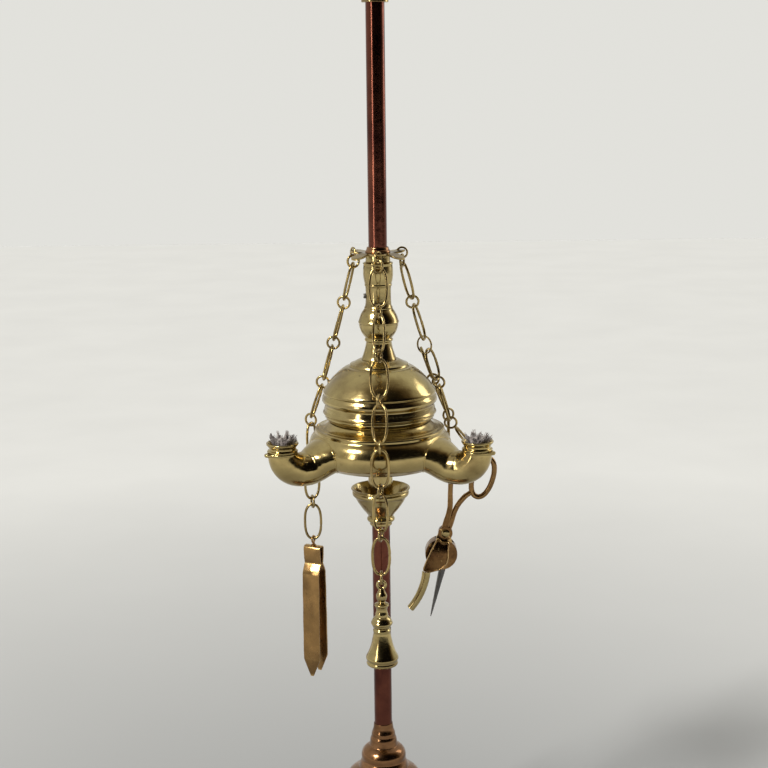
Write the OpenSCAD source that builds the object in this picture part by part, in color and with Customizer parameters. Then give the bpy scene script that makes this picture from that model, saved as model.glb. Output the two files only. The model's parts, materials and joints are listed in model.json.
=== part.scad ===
// Three-spout table oil lamp on a rod: the font, its lid and three tools on chains.
// Origin: centre of the foot's underside. +Z runs up the rod, -Y is the front.

/* [Stand] */
// Height of the flange under the top knob
flange_z = 562; // [545:1:600]
// Diameter of the foot
foot_d = 146; // [130:1:170]
// Diameter of the rod
rod_d = 11; // [10.8:0.1:11]
// Outside diameter of the carrying ring
handle_d = 44; // [36:1:60]

/* [Font] */
// Widest radius of the oil font
belly_r = 43.2; // [42:0.1:44]
// Distance from the rod to the middle of a burner
mouth_r = 65.5; // [64.5:0.1:66.5]
// Height of the tip of the cotton above the rim of its cup
tuft_h = 8.5; // [5:0.5:12]

/* [Chains] */
// Diameter of the wire of the long links
link_wire = 1.6; // [1.4:0.1:1.7]
// Outside width of the long links
link_w = 11.6; // [10.5:0.1:12]
// Outside diameter of the round links
ring_d = 8.7; // [8.5:0.1:9]
// Diameter of the wire of the round links
ring_wire = 1.4; // [1.3:0.1:1.5]
// Distance between neighbouring round links
pitch = 26.2; // [26:0.1:26.4]

/* [Tools] */
// Width of the tweezers strip
strip_w = 11.4; // [9:0.1:12]
// Thickness of the tweezers strip
strip_t = 1; // [0.8:0.1:1.2]
// Lean of the wick trimmer
trimmer_lean = 17; // [15:0.5:19]

/* [Hidden] */
$fn = 64;
rod_r = rod_d / 2;
slide_gap = 0.07;       // radial play of what slides on the rod
seat_gap = 0.3;         // play between parts that rest on each other
slide_r = rod_r + slide_gap;
fit_gap = 0.05;         // radial play of fixed fits
fit_r = rod_r + fit_gap;

// Heights up the rod
rod_foot_z = 1.5;
pedestal_z = 36;
pedestal_top_z = 123;
cup_z = 252.5;
font_z = 291;
lid_z = 318;
neck_z = 355.5;
crown_z = 418;
rod_top_z = flange_z + 14;

// Directions seen from above, in degrees
spout_angles = [-30, 210, 90];
front_angle = 270;
left_angle = 152;
right_angle = 30;

// Chain geometry in a plane through the rod: [radius, sideways, height]
ring_r = (ring_d - ring_wire) / 2;
link_gap = 0.08;
ring_reach = ring_r - (link_wire + ring_wire) / 2 - link_gap;
jump_r = 3.1;
jump_wire = 1.2;
jump_turn = -35;
jump_play = 0.6;
upper_tilts = [15.5, 17, 18, 20];

function step_down(p, tilt, length) = [p[0] + length * sin(tilt), p[1], p[2] - length * cos(tilt)];
function toward(p, q, d) = p + (q - p) * (d / norm(q - p));
function in_row_frame(p) = [p[0] * cos(right_angle) - p[1] * sin(right_angle),
    p[0] * sin(right_angle) + p[1] * cos(right_angle), p[2]];

top_ring = [16.6, 0, 413.2];
ring_2 = step_down(top_ring, upper_tilts[0], pitch);
ring_3 = step_down(ring_2, upper_tilts[1], pitch);
ring_4 = step_down(ring_3, upper_tilts[2], pitch);
ring_5 = step_down(ring_4, upper_tilts[3], pitch);
ring_6 = step_down(ring_5, 0, pitch);
ring_7 = step_down(ring_6, 0, pitch);
ring_8 = step_down(ring_7, 0, pitch);
last_apex_z = ring_8[2] + ring_reach;
jump_z = top_ring[2] + ring_r - (ring_wire + jump_wire) / 2 - jump_play + jump_r;

// The wick trimmer's chain divides at a split ring
split_r = 5.4;
split_wire = 1.7;
split_ring_at = step_down(ring_2, 17, pitch + 2.2);
strand_side = 2.5;
split_turn = 110;
split_hold = split_r - (split_wire + link_wire) / 2 - 0.15;
strand_drop = sqrt(split_hold * split_hold - strand_side * strand_side);
back_ring_1 = [40.6, 4.4, 337.6];
back_ring_2 = [53, 6.2, 313.6];
side_ring_1 = [39, -4.6, 337.6];
side_ring_2 = [48.3, -3.75, 311];

// Wick trimmer
finger_w = 16;
finger_len = 29.5;
left_finger_len = 22;
finger_wire = 3.4;
finger_side = 12.4;
finger_up = 41;
half_lap = 1.2;
box_r = 10.2;
box_side = 1.9;
box_down = 14.8;
trimmer_y = in_row_frame(back_ring_2)[1] + half_lap;
trimmer_hook_z = back_ring_2[2] - pitch + ring_reach + (link_wire + finger_wire) / 2 + link_gap;
finger_bend_r = (finger_w - finger_wire) / 2;
finger_bend_up = finger_up + (finger_len - finger_w) / 2;
rivet_x = in_row_frame(back_ring_2)[0] - finger_bend_up * sin(trimmer_lean)
    + finger_side * cos(trimmer_lean);
rivet_z = trimmer_hook_z - finger_bend_r - finger_bend_up * cos(trimmer_lean)
    - finger_side * sin(trimmer_lean);

// ---- Shared shapes ----

// A turned solid from an outline of [radius, height] points
module turned(outline) {
    rotate_extrude() polygon(outline);
}

// Points on a round stretch of an outline
function arc(centre, r, from, to, steps) =
    [for (i = [0:steps]) let (a = from + (to - from) * i / steps)
        [centre[0] + r * cos(a), centre[1] + r * sin(a)]];

// A round wire ring standing in the XZ plane
module wire_ring(r, wire) {
    rotate([90, 0, 0]) rotate_extrude() translate([r, 0]) circle(d = wire);
}

// A long oval link in the XZ plane, standing along Z
module oval_link(length, width, wire) {
    bend_r = (width - wire) / 2;
    straight = length - width;
    rotate([90, 0, 0]) for (turn = [0, 180]) rotate(turn) {
        translate([0, straight / 2, 0]) rotate_extrude(angle = 180) translate([bend_r, 0]) circle(d = wire);
        translate([bend_r, -straight / 2, 0]) rotate([-90, 0, 0]) cylinder(d = wire, h = straight);
    }
}

// Places its children half way between two points, with +Z along the line
module between(p, q) {
    up = q - p;
    translate((p + q) / 2) rotate([0, acos(up[2] / norm(up)), atan2(up[1], up[0])]) children();
}

// A long link whose two end wires are centred on a and b
module link(a, b, twist) {
    between(b, a) rotate(twist) oval_link(norm(a - b) + link_wire, link_w, link_wire);
}

// A long link that joins the round links centred on p and q
module joining_link(p, q, twist) {
    link(toward(p, q, ring_reach), toward(q, p, ring_reach), twist);
}

// A round link that stands upright
module round_link(p, twist) {
    translate(p) rotate(twist) wire_ring(ring_r, ring_wire);
}

// A round link in line with the stretch of chain from p to q
module leaning_link(p, at, q, twist) {
    translate(at - (p + q) / 2) between(q, p) rotate(twist) wire_ring(ring_r, ring_wire);
}

// A tube swept along points in the XZ plane; a is its half height, b its half width
function path_normal(path, i) =
    let (p = path[max(i - 1, 0)], q = path[min(i + 1, len(path) - 1)], d = q - p)
        [-d[1], d[0]] / norm(d);

module swept(path, a, b, sides) {
    count = len(path);
    points = [for (i = [0:count - 1]) for (k = [0:sides - 1])
        let (n = path_normal(path, i), t = 360 * k / sides)
            [path[i][0] + n[0] * a[i] * cos(t), b[i] * sin(t), path[i][1] + n[1] * a[i] * cos(t)]];
    side_faces = [for (i = [0:count - 2]) for (k = [0:sides - 1])
        let (j = (k + 1) % sides)
            [i * sides + k, i * sides + j, (i + 1) * sides + j, (i + 1) * sides + k]];
    first = [for (k = [sides - 1:-1:0]) k];
    last = [for (k = [0:sides - 1]) (count - 1) * sides + k];
    polyhedron(points, concat(side_faces, [first, last]), convexity = 6);
}

// ---- Stand ----

module foot_shell() {
    r = foot_d / 2;
    color("peru") turned([
        [fit_r, pedestal_z], [24, pedestal_z], [36, pedestal_z - 2], [47, pedestal_z - 5.5],
        [53, pedestal_z - 10], [56, pedestal_z - 13], [60, pedestal_z - 14], [62, pedestal_z - 16],
        [r - 6, 14], [r - 2, 10], [r, 6], [r, 2], [r - 1, 0.8], [r - 4, 0.8],
        [r - 4, 6], [r - 8, 11], [58, 18], [54, 19.5], [50, 24],
        [45, 28.5], [35, 32], [24, 33.5], [fit_r, 33.5]
    ]);
}

module foot_weight() {
    color("dimgray") difference() {
        translate([0, 0, 9]) cylinder(r1 = 52, r2 = 46, h = 9);
        translate([0, 0, 8]) cylinder(r = fit_r, h = 12);
    }
}

module base_washer() {
    color("silver") difference() {
        translate([0, 0, 7.5]) cylinder(r = 12, h = 1.5);
        translate([0, 0, 7]) cylinder(r = fit_r, h = 3);
    }
}

module base_nut() {
    color("silver") difference() {
        translate([0, 0, 2]) cylinder(r = 10, h = 5.5, $fn = 6);
        translate([0, 0, 1]) cylinder(r = fit_r, h = 8);
    }
}

module felt_pad() {
    color("darkgreen") cylinder(r = foot_d / 2 - 1, h = 0.8);
}

module pedestal() {
    color("sienna") turned(concat(
        [[fit_r, pedestal_z], [34, pedestal_z], [33.5, 38], [27, 40.5], [21, 45], [18.5, 50]],
        arc([17.5, 53], 3, -60, 70, 6),
        [[15.5, 58], [14.6, 63], [15.6, 69]],
        arc([15.6, 84], 8.5, -50, 60, 8),
        [[15.4, 94.2], [14.6, 97.2]],
        arc([7.2, 101.5], 6.8, -20, 55, 6),
        [[8.7, 108.6], [8.3, 112], [7.4, 114.5], [7.3, 116.5], [6.3, 119], [fit_r + 0.35, pedestal_top_z],
            [fit_r, pedestal_top_z]]
    ));
}

module rod() {
    color("saddlebrown") translate([0, 0, rod_foot_z]) cylinder(r = rod_r, h = rod_top_z - rod_foot_z);
}

module finial() {
    color("goldenrod") difference() {
        turned(concat(
            [[0, flange_z], [7.8, flange_z], [7.8, flange_z + 3], [6.3, flange_z + 4.5],
                [5.9, flange_z + 7.5], [7, flange_z + 9]],
            arc([0, flange_z + 20], 10.6, -50, 52, 12),
            [[4.8, flange_z + 30], [4.6, flange_z + 32], [6.6, flange_z + 33.4],
                [6.6, flange_z + 35], [4.5, flange_z + 37], [0, flange_z + 37]]
        ));
        translate([0, 0, flange_z - 1]) cylinder(r = fit_r, h = rod_top_z - flange_z + 1.2);
    }
}

module ring_handle() {
    wire = 5;
    ring_centre_z = flange_z + 37 + handle_d / 2 - 0.6;
    color("goldenrod") difference() {
        translate([0, 0, ring_centre_z]) wire_ring((handle_d - wire) / 2, wire);
        translate([0, 0, flange_z + 32]) cylinder(r = 8, h = 5);
    }
}

// ---- Drip cup that carries the font ----

module drip_cup() {
    color("gold") turned([
        [slide_r, cup_z], [6.4, cup_z], [6.6, cup_z + 1.6], [7.9, cup_z + 3], [8.2, cup_z + 4.4],
        [7.4, cup_z + 5.4], [9.4, cup_z + 8.2], [12.6, cup_z + 12.4], [15.2, cup_z + 16.6],
        [16.6, cup_z + 19.4], [17.3, cup_z + 20.2], [17.3, cup_z + 21.4], [16.9, cup_z + 22],
        [17.6, cup_z + 23], [18, cup_z + 23.5], [16.6, cup_z + 23.5], [15.4, cup_z + 21.4],
        [13.7, cup_z + 17], [11.3, cup_z + 13], [8.2, cup_z + 9], [7.4, cup_z + 8.6],
        [7.4, font_z - 0.3 - seat_gap], [slide_r, font_z - 0.3 - seat_gap]
    ]);
}

// ---- Font ----

// Outside of the font, closed to the axis
module font_outside() {
    turned(concat(
        [[0, font_z], [33, font_z], [37.5, font_z + 2.2]],
        arc([belly_r - 11.5, font_z + 11.5], 11.5, -42, 48, 10),
        [[38.9, font_z + 21], [39, font_z + 22.2], [38.2, font_z + 23.3], [35.5, font_z + 23.6],
            [33, font_z + 24.6], [31.2, font_z + 26], [30.6, lid_z], [0, lid_z]]
    ));
}

module font_inside() {
    turned(concat(
        [[0, font_z + 1.6], [32.5, font_z + 1.6], [36.3, font_z + 3.6]],
        arc([belly_r - 11.5, font_z + 11.5], 9.9, -40, 46, 10),
        [[37.2, font_z + 20], [37, font_z + 21.6], [35.2, font_z + 22], [32, font_z + 23],
            [29.2, font_z + 24.6], [27.2, font_z + 26], [27.2, lid_z + 1], [0, lid_z + 1]]
    ));
}

module reservoir_body() {
    color("darkgoldenrod") difference() {
        font_outside();
        font_inside();
        translate([0, 0, font_z - 1]) cylinder(r = rod_r + 1.6, h = 4);
        for (a = spout_angles) rotate(a)
            translate([30, 0, font_z + 9.5]) rotate([0, 90, 0]) cylinder(r = 6.5, h = 20);
    }
}

module font_tube() {
    color("darkgoldenrod") difference() {
        translate([0, 0, font_z - 0.3]) cylinder(r = rod_r + 1.6 - fit_gap, h = 34);
        translate([0, 0, font_z - 1]) cylinder(r = slide_r, h = 40);
    }
}

// The spout's centre line runs out, dips and turns up into the burner
spout_path = concat(
    [[34, font_z + 10.5], [38, font_z + 9.4], [42, font_z + 7.4], [45.5, font_z + 5.4],
        [49, font_z + 4.1]],
    arc([mouth_r - 12, font_z + 16], 12, -88, 0, 9),
    [[mouth_r, font_z + 19]]
);
spout_half_h = [10.6, 10.5, 10.4, 10.3, 10.2, 10.1, 10, 9.9, 9.8, 9.7, 9.5, 9.3, 9, 8.8, 8.6, 8.5];
spout_half_w = [20, 17.5, 15, 13, 11.5, 10.6, 10.2, 10, 9.9, 9.8, 9.6, 9.4, 9.1, 8.8, 8.6, 8.5];
spout_wall = 1.7;
mouth_z = font_z + 16;

module spout(a) {
    color("darkgoldenrod") rotate(a) difference() {
        union() {
            swept(spout_path, spout_half_h, spout_half_w, 24);
            drip_lip();
        }
        swept([for (i = [0:len(spout_path) - 1]) spout_path[i] + (i == 0 ? [-2, 0.5] : [0, 0])],
            [for (h = spout_half_h) h - spout_wall], [for (w = spout_half_w) w - spout_wall], 24);
        translate([mouth_r, 0, mouth_z - 3.5]) cylinder(r = 7, h = 6);
        translate([mouth_r, 0, mouth_z]) cylinder(r = 16, h = 10);
        font_outside();
    }
}

// Pointed lip outside the burner
module drip_lip() {
    lip = 11.2;
    translate([mouth_r, 0, mouth_z - 1.6]) linear_extrude(1.6) polygon(concat(
        arc([0, 0], 8.6, 55, 305, 16), [[lip - 2.4, -2.6], [lip, 0], [lip - 2.4, 2.6]]));
}

module wick_cup(a) {
    base = mouth_z + fit_gap;
    color("darkgoldenrod") rotate(a) translate([mouth_r, 0, 0]) turned([
        [5.6, mouth_z - 3], [6.9, mouth_z - 3], [6.9, base], [8.8, base], [9, base + 0.8],
        [7.8, base + 1.4], [7.9, base + 2.6], [9.3, base + 4.9], [9.3, base + 5.6],
        [8.3, base + 5.6], [6.8, base + 3], [5.6, base + 2]
    ]);
}

module wick(a) {
    rim = mouth_z + 5.6;
    color("lightgray") rotate(a) translate([mouth_r, 0, 0]) turned([
        [0, mouth_z - 9], [3.4, mouth_z - 9], [4.6, mouth_z - 6], [4.8, rim - 2], [6.2, rim + 0.6],
        [6.8, rim + 2.6], [5, rim + 4.6], [1.5, rim + tuft_h], [0, rim + tuft_h]
    ]);
}

// ---- Lid, neck and crown ----

module lid_dome() {
    color("khaki") difference() {
        turned([
            [25.4, lid_z - 6], [26.9, lid_z - 6], [26.9, lid_z + seat_gap], [30.2, lid_z + seat_gap],
            [30.7, lid_z + 1.2], [32.1, lid_z + 2], [32.9, lid_z + 3.6], [32.7, lid_z + 4.4],
            [33.9, lid_z + 5], [34.1, lid_z + 5.8], [33.6, lid_z + 7], [33.2, lid_z + 9],
            [32.7, lid_z + 10.4], [32.8, lid_z + 11.4], [34.3, lid_z + 12.4], [34.5, lid_z + 13.6],
            [34.1, lid_z + 15.6], [33.3, lid_z + 17], [33.9, lid_z + 18], [33.4, lid_z + 19.6],
            [32.2, lid_z + 21], [30.4, lid_z + 23.6], [28.2, lid_z + 26], [25.6, lid_z + 29],
            [22.6, lid_z + 31.4], [19.9, lid_z + 33.2], [17.9, lid_z + 33.8], [17.4, lid_z + 34.8],
            [12, neck_z], [7.6, neck_z], [7.6, neck_z - 1.8], [11, lid_z + 35.4],
            [17, lid_z + 32.2], [22, lid_z + 29.4], [26.4, lid_z + 24.8], [29.6, lid_z + 20],
            [31.2, lid_z + 15], [30.8, lid_z + 9], [30.6, lid_z + 5], [28, lid_z + 3],
            [25.4, lid_z + 2]
        ]);
        translate([0, 0, neck_z - 4]) cylinder(r = 7.6, h = 8);
    }
}

module neck_baluster() {
    color("khaki") difference() {
        turned(concat(
            [[0, neck_z - 3], [7.55, neck_z - 3], [7.55, neck_z], [10.3, neck_z + 0.3], [9.6, neck_z + 2.4],
                [8.2, neck_z + 6.8], [7.6, neck_z + 10.6], [8.3, neck_z + 11.8], [8.3, neck_z + 12.8],
                [8.4, neck_z + 13.6], [10.1, neck_z + 17.2]],
            arc([6.6, neck_z + 22.4], 5.2, -55, 60, 8),
            [[9, neck_z + 29.2], [8.4, neck_z + 31.6], [7.6, neck_z + 34], [7.55, neck_z + 44],
                [8, neck_z + 44.4], [8.1, neck_z + 45], [8.7, neck_z + 49], [8.8, neck_z + 53],
                [8.5, neck_z + 57.2], [8.9, neck_z + 57.7], [7.3, neck_z + 58.4], [7.2, crown_z],
                [0, crown_z]]
        ));
        translate([0, 0, neck_z - 4]) cylinder(r = slide_r, h = crown_z - neck_z + 6);
        translate([-5, 0, neck_z + 37.9]) rotate([0, -90, 0]) cylinder(r = 1.5 + fit_gap, h = 6);
        translate([0, 0, crown_z - 3]) cylinder(r = 6.2, h = 4);
    }
}

module set_screw() {
    color("dimgray") translate([-5.9, 0, neck_z + 37.9]) rotate([0, -90, 0]) {
        cylinder(r = 1.5, h = 2);
        cylinder(r = 1.5, h = 2.9);
    }
}

// One petal of the crown, pierced for the jump ring of its chain
petal_root = 9;
petal_t = 1.2;

module petal(angle, tilt, pierced) {
    rotate(angle) translate([petal_root, 0, crown_z + petal_t / 2]) rotate([0, tilt, 0]) difference() {
        translate([4.1, 0, -petal_t / 2]) cylinder(r = 4.8, h = petal_t);
        if (pierced) translate([top_ring[0] - petal_root, 0, -2]) rotate(jump_turn)
            translate([-jump_r, 0, 0]) cylinder(r = 1.4, h = 4);
    }
}

module crown_plate() {
    color("darkkhaki") difference() {
        union() {
            translate([0, 0, crown_z]) cylinder(r = 9.6, h = petal_t);
            for (a = [front_angle, left_angle, right_angle]) {
                petal(a, -5, true);
                petal(a + 60, 17, false);
            }
        }
        translate([0, 0, crown_z - 1]) cylinder(r = 6.2, h = 8);
    }
}

// The jump rings that hang the three chains from the petals
module crown_rings() {
    color("olive") for (a = [front_angle, left_angle, right_angle])
        rotate(a) translate([top_ring[0], 0, jump_z]) rotate(jump_turn) wire_ring(jump_r, jump_wire);
}

module crown_ferrule() {
    color("chocolate") difference() {
        union() {
            translate([0, 0, crown_z - 3]) cylinder(r = 6.15, h = 5);
            translate([0, 0, crown_z + 1.2]) cylinder(r1 = 7.4, r2 = 6.3, h = 3.4);
        }
        translate([0, 0, crown_z - 4]) cylinder(r = slide_r, h = 10);
    }
}

// ---- Chains and tools ----

// The first round and long link of a chain, half turned from the crown's jump ring
module first_links(twist) {
    round_link(top_ring, twist / 2);
    link(toward(top_ring, ring_2, ring_reach - 0.9), toward(ring_2, top_ring, ring_reach), twist);
}

// The four links from the crown down to the side of the font
module upper_chain(twists) {
    stops = [top_ring, ring_2, ring_3, ring_4, ring_5];
    first_links(twists[0]);
    for (i = [1:3]) joining_link(stops[i], stops[i + 1], twists[i]);
    for (i = [1:3])
        leaning_link(stops[i - 1], stops[i], stops[i + 1], (twists[i - 1] + twists[i]) / 2 + 90);
}

// The three links that hang below the side of the font
module lower_chain(twists) {
    stops = [ring_5, ring_6, ring_7, ring_8];
    for (i = [0:2]) joining_link(stops[i], stops[i + 1], twists[i]);
    round_link(ring_5, 0);
    for (i = [1:2]) round_link(stops[i], (twists[i - 1] + twists[i]) / 2 + 90);
}

module front_chain_upper() {
    color("olive") rotate(front_angle) upper_chain([90, 40, 90, 55]);
}

module front_chain_lower() {
    color("olive") rotate(front_angle) {
        lower_chain([90, 55, 90]);
        round_link(ring_8, 0);
    }
}

eye_r = 2.3;
eye_wire = 1.8;
bell_eye_z = ring_8[2] - ring_r + (ring_wire + eye_wire) / 2 + 0.1 - eye_r;

module snuffer_bell() {
    knob_z = bell_eye_z - 7;
    color("gold") rotate(front_angle) translate([ring_8[0], 0, 0]) {
        translate([0, 0, bell_eye_z]) rotate(90) wire_ring(eye_r, eye_wire);
        turned(concat(
            [[0, knob_z - 20], [0, knob_z + 4.6], [1.6, knob_z + 4.6], [2, knob_z + 3]],
            [[3.3, knob_z + 0.6], [3, knob_z - 1.6], [2, knob_z - 3], [2.2, knob_z - 3.8], [4.2, knob_z - 4.6],
                [4.2, knob_z - 5.8], [3.2, knob_z - 7.4], [3.6, knob_z - 10.4]],
            arc([1.6, knob_z - 16], 4.4, 60, -50, 8),
            [[4.9, knob_z - 20.6], [5.4, knob_z - 24], [6.4, knob_z - 29], [8.2, knob_z - 34.6],
                [9.5, knob_z - 37], [9.5, knob_z - 38.4], [8.9, knob_z - 39.4], [9.2, knob_z - 41],
                [8.4, knob_z - 42], [8, knob_z - 42], [7, knob_z - 35], [5, knob_z - 29],
                [3.8, knob_z - 24], [0, knob_z - 21]]
        ));
    }
}

module left_chain_upper() {
    color("olive") rotate(left_angle) upper_chain([105, 108, 125, 105]);
}

module left_chain_lower() {
    color("olive") rotate(left_angle) lower_chain([90, 60, 180 - left_angle]);
}

// The tweezers hang on a small swivel eye
swivel_r = 1.9;
swivel_wire = 1.2;
swivel_z = last_apex_z + (link_wire + swivel_wire) / 2 + 0.1 - swivel_r;
tweezers_top_z = 232.4;
head_out = 2.9;
waist_z = 220.4;
leaf_out = 5.2;
leaf_tip_out = 5.8;
leaf_tip_z = 147;
tweezers_x = ring_8[0] * cos(left_angle);
tweezers_y = ring_8[0] * sin(left_angle);
tweezers_turn = -25;

module at_tweezers() {
    translate([tweezers_x, tweezers_y, 0]) rotate(tweezers_turn) children();
}

module tweezers_eye() {
    stem_z = tweezers_top_z - 2.4;
    color("darkolivegreen") at_tweezers() {
        translate([0, 0, swivel_z]) rotate(90) wire_ring(swivel_r, swivel_wire);
        translate([0, 0, stem_z]) cylinder(r = 0.9, h = swivel_z - swivel_r - stem_z + 0.2);
        translate([0, 0, stem_z]) cylinder(r = 1.8, h = 0.8);
        translate([0, 0, tweezers_top_z + 0.05]) cylinder(r = 1.7, h = 0.6);
    }
}

// Outline of the strip in the YZ plane, extruded along its width
module strip(outline) {
    rotate([90, 0, 90]) linear_extrude(strip_w, center = true) polygon(outline);
}

module tweezers_head() {
    inner = head_out - strip_t;
    top = tweezers_top_z;
    color("peru") at_tweezers() difference() {
        strip(concat(
            arc([inner - 0.6, top - 1.6], 1.6, 0, 90, 5), arc([0.6 - inner, top - 1.6], 1.6, 90, 180, 5),
            [[-head_out + 0.3, top - 7], [-1.9, waist_z + 0.1], [-0.9, waist_z + 0.1],
                [0.3 - inner, top - 7]],
            arc([0.6 - inner, top - 1.6], 0.6, 180, 90, 3), arc([inner - 0.6, top - 1.6], 0.6, 90, 0, 3),
            [[inner - 0.3, top - 7], [0.9, waist_z + 0.1], [1.9, waist_z + 0.1],
                [head_out - 0.3, top - 7]]
        ));
        translate([0, 0, top - 3]) cylinder(r = 1, h = 5);
    }
}

module tweezers_leaf(side) {
    shoulder_z = 214.6;
    taper_z = 158;
    color("sienna") at_tweezers() intersection() {
        mirror([0, side < 0 ? 1 : 0, 0]) strip([
            [0.9, waist_z], [1.9, waist_z], [leaf_out - 0.7, shoulder_z + 0.7], [leaf_out, shoulder_z - 0.6],
            [leaf_tip_out, leaf_tip_z], [leaf_tip_out - strip_t, leaf_tip_z],
            [leaf_out - strip_t, shoulder_z - 0.4], [leaf_out - strip_t - 0.3, shoulder_z - 0.1]
        ]);
        rotate([90, 0, 0]) linear_extrude(30, center = true) polygon([
            [-strip_w / 2, waist_z + 1], [-strip_w / 2, taper_z], [-1, leaf_tip_z], [1, leaf_tip_z],
            [strip_w / 2, taper_z], [strip_w / 2, waist_z + 1]
        ]);
    }
}

module right_chain_upper() {
    split_near = split_ring_at + [0, 0, split_hold];
    color("olive") rotate(right_angle) {
        first_links(85);
        leaning_link(top_ring, ring_2, split_ring_at, 155);
        link(toward(ring_2, split_near, ring_reach), split_near, 45);
        for (strand = [[1, back_ring_1, back_ring_2], [-1, side_ring_1, side_ring_2]]) {
            start = split_ring_at + [strand[0] * strand_side * cos(split_turn),
                strand[0] * strand_side * sin(split_turn), -strand_drop];
            link(start, toward(strand[1], start, ring_reach), 50);
            leaning_link(start, strand[1], strand[2], 140);
            joining_link(strand[1], strand[2], 50);
        }
        leaning_link(side_ring_1, side_ring_2, side_ring_2 * 2 - side_ring_1, 140);
    }
}

// A double turn of wire, as on a key ring
module split_ring() {
    color("olive") rotate(right_angle) translate(split_ring_at) rotate(split_turn)
        for (side = [-1, 1]) translate([0, side * split_wire / 4, 0])
            wire_ring(split_r, split_wire / 2 - 0.02);
}

module right_chain_lower() {
    hang = [back_ring_2[0], back_ring_2[1], back_ring_2[2] - pitch];
    color("olive") rotate(right_angle) {
        round_link(back_ring_2, 0);
        joining_link(back_ring_2, hang, 90 - right_angle);
    }
}

// The wick trimmer stands in a plane that faces the front
module at_trimmer() {
    translate([rivet_x, trimmer_y, rivet_z]) rotate([0, trimmer_lean, 0]) children();
}

// Finger ring and curved shank; the left ring is the shorter one, so its shank is longer
module trimmer_handle(side, length) {
    corner = finger_bend_r * sin(45);
    bend_down = finger_bend_up - (length - finger_w);
    neck = side < 0 ? [[6.2, 32], [4.6, 26]] : [[5.2, 25.8]];
    path = concat([[finger_side - corner, bend_down - corner]], neck,
        [[3.1, 21], [2, 16.5], [1.6, 12], [1.5, 8], [1.1, 4]]);
    translate([side * finger_side, 0, (finger_bend_up + bend_down) / 2])
        oval_link(length, finger_w, finger_wire);
    swept([for (p = path) [side * p[0], p[1]]],
        [for (p = path) 1.6 + 0.08 * max(0, 12 - p[1])],
        [for (p = path) min(1.5, max(1.04, 1.04 + 0.05 * (p[1] - 16.5)))], 12);
}

// Flat eye round the rivet, in front of or behind the middle plane
module rivet_eye(y) {
    translate([0, y + plate_t / 2, 0]) rotate([90, 0, 0]) cylinder(r = 4.6, h = plate_t);
}

rivet_r = 1.6;
plate_t = 2.1;

module rivet_hole() {
    rotate([90, 0, 0]) cylinder(r = rivet_r + fit_gap, h = 20, center = true);
}

module trimmer_arm_left() {
    color("sienna") at_trimmer() difference() {
        union() {
            translate([0, -half_lap, 0]) trimmer_handle(-1, left_finger_len);
            rivet_eye(-half_lap);
        }
        rivet_hole();
    }
}

module trimmer_arm_right() {
    color("sienna") at_trimmer() difference() {
        union() {
            translate([0, half_lap, 0]) trimmer_handle(1, finger_len);
            rivet_eye(half_lap);
            translate([0, half_lap + plate_t / 2, 0]) rotate([90, 0, 0]) {
                translate([box_side, -box_down, 0]) cylinder(r = box_r, h = plate_t);
                linear_extrude(plate_t) polygon([[-4, -1], [4, -1], [8, -9], [-4.5, -9]]);
            }
        }
        rivet_hole();
    }
}

// Domed leaf that closes over the trimmings box
module trimmer_cover() {
    dome_r = 22;
    rise = 6;
    skin = 1.1;
    color("peru") at_trimmer() difference() {
        intersection() {
            translate([-0.6, -half_lap - skin - rise + dome_r, -14.6]) difference() {
                sphere(r = dome_r);
                sphere(r = dome_r - skin);
            }
            translate([0, -half_lap - skin, 0]) rotate([90, 0, 0]) linear_extrude(9)
                polygon(concat([[2.6, 1], [-2.6, 1.6], [-4.5, -4], [-6.3, -12], [-7.2, -21], [-7, -28.2],
                    [-2.2, -27.3]], arc([-3.9, -15.6], 10.2, 295, 385, 10)));
        }
        rotate([90, 0, 0]) cylinder(r = 4.7, h = 24, center = true);
    }
}

// Curved half tube on the cover's point, for clearing the spouts
gouge_r = 2.7;
gouge_bend_r = 44.7;

module trimmer_gouge() {
    color("gold") at_trimmer() translate([-48.3, -half_lap - 2.2, -36.2]) rotate([90, 0, 0]) rotate(-23)
        rotate_extrude(angle = 33.5) translate([gouge_bend_r, 0]) difference() {
            circle(r = gouge_r);
            circle(r = gouge_r - 0.8);
            translate([-gouge_r - 1, -gouge_r - 1]) square([2 * gouge_r + 2, gouge_r + 0.6]);
        }
}

// Round box that catches the cut wick
module trimmer_box() {
    depth = 7;
    skin = 1;
    color("sienna") at_trimmer() translate([box_side, half_lap + plate_t / 2 + fit_gap, -box_down])
        rotate([-90, 0, 0]) difference() {
            cylinder(r = box_r, h = depth);
            translate([0, 0, skin]) cylinder(r = box_r - skin, h = depth - 2 * skin);
            translate([-12, -14, skin]) cube([24, 6, depth - 2 * skin]);
        }
}

module trimmer_spike() {
    spike_len = 36;
    color("dimgray") at_trimmer() difference() {
        translate([5.7, half_lap + 4.6, -22.6]) rotate([0, -3.8, 0]) translate([0, 0, -spike_len])
            cylinder(r1 = 0.3, r2 = 2.3, h = spike_len);
        translate([box_side, 0, -box_down]) rotate([-90, 0, 0]) cylinder(r = box_r + fit_gap, h = 20);
    }
}

module trimmer_rivet() {
    head = 1;
    span = 2 * (half_lap + fit_gap) + plate_t;
    color("gold") at_trimmer() rotate([90, 0, 0]) {
        cylinder(r = rivet_r, h = span, center = true);
        for (side = [-1, 1]) translate([0, 0, side * (span + head) / 2])
            cylinder(r = 2.8, h = head, center = true);
    }
}

// The slack strand's end, hooked in the right finger ring
tail_angle = 40;
tail_gap = 0.6;

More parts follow.
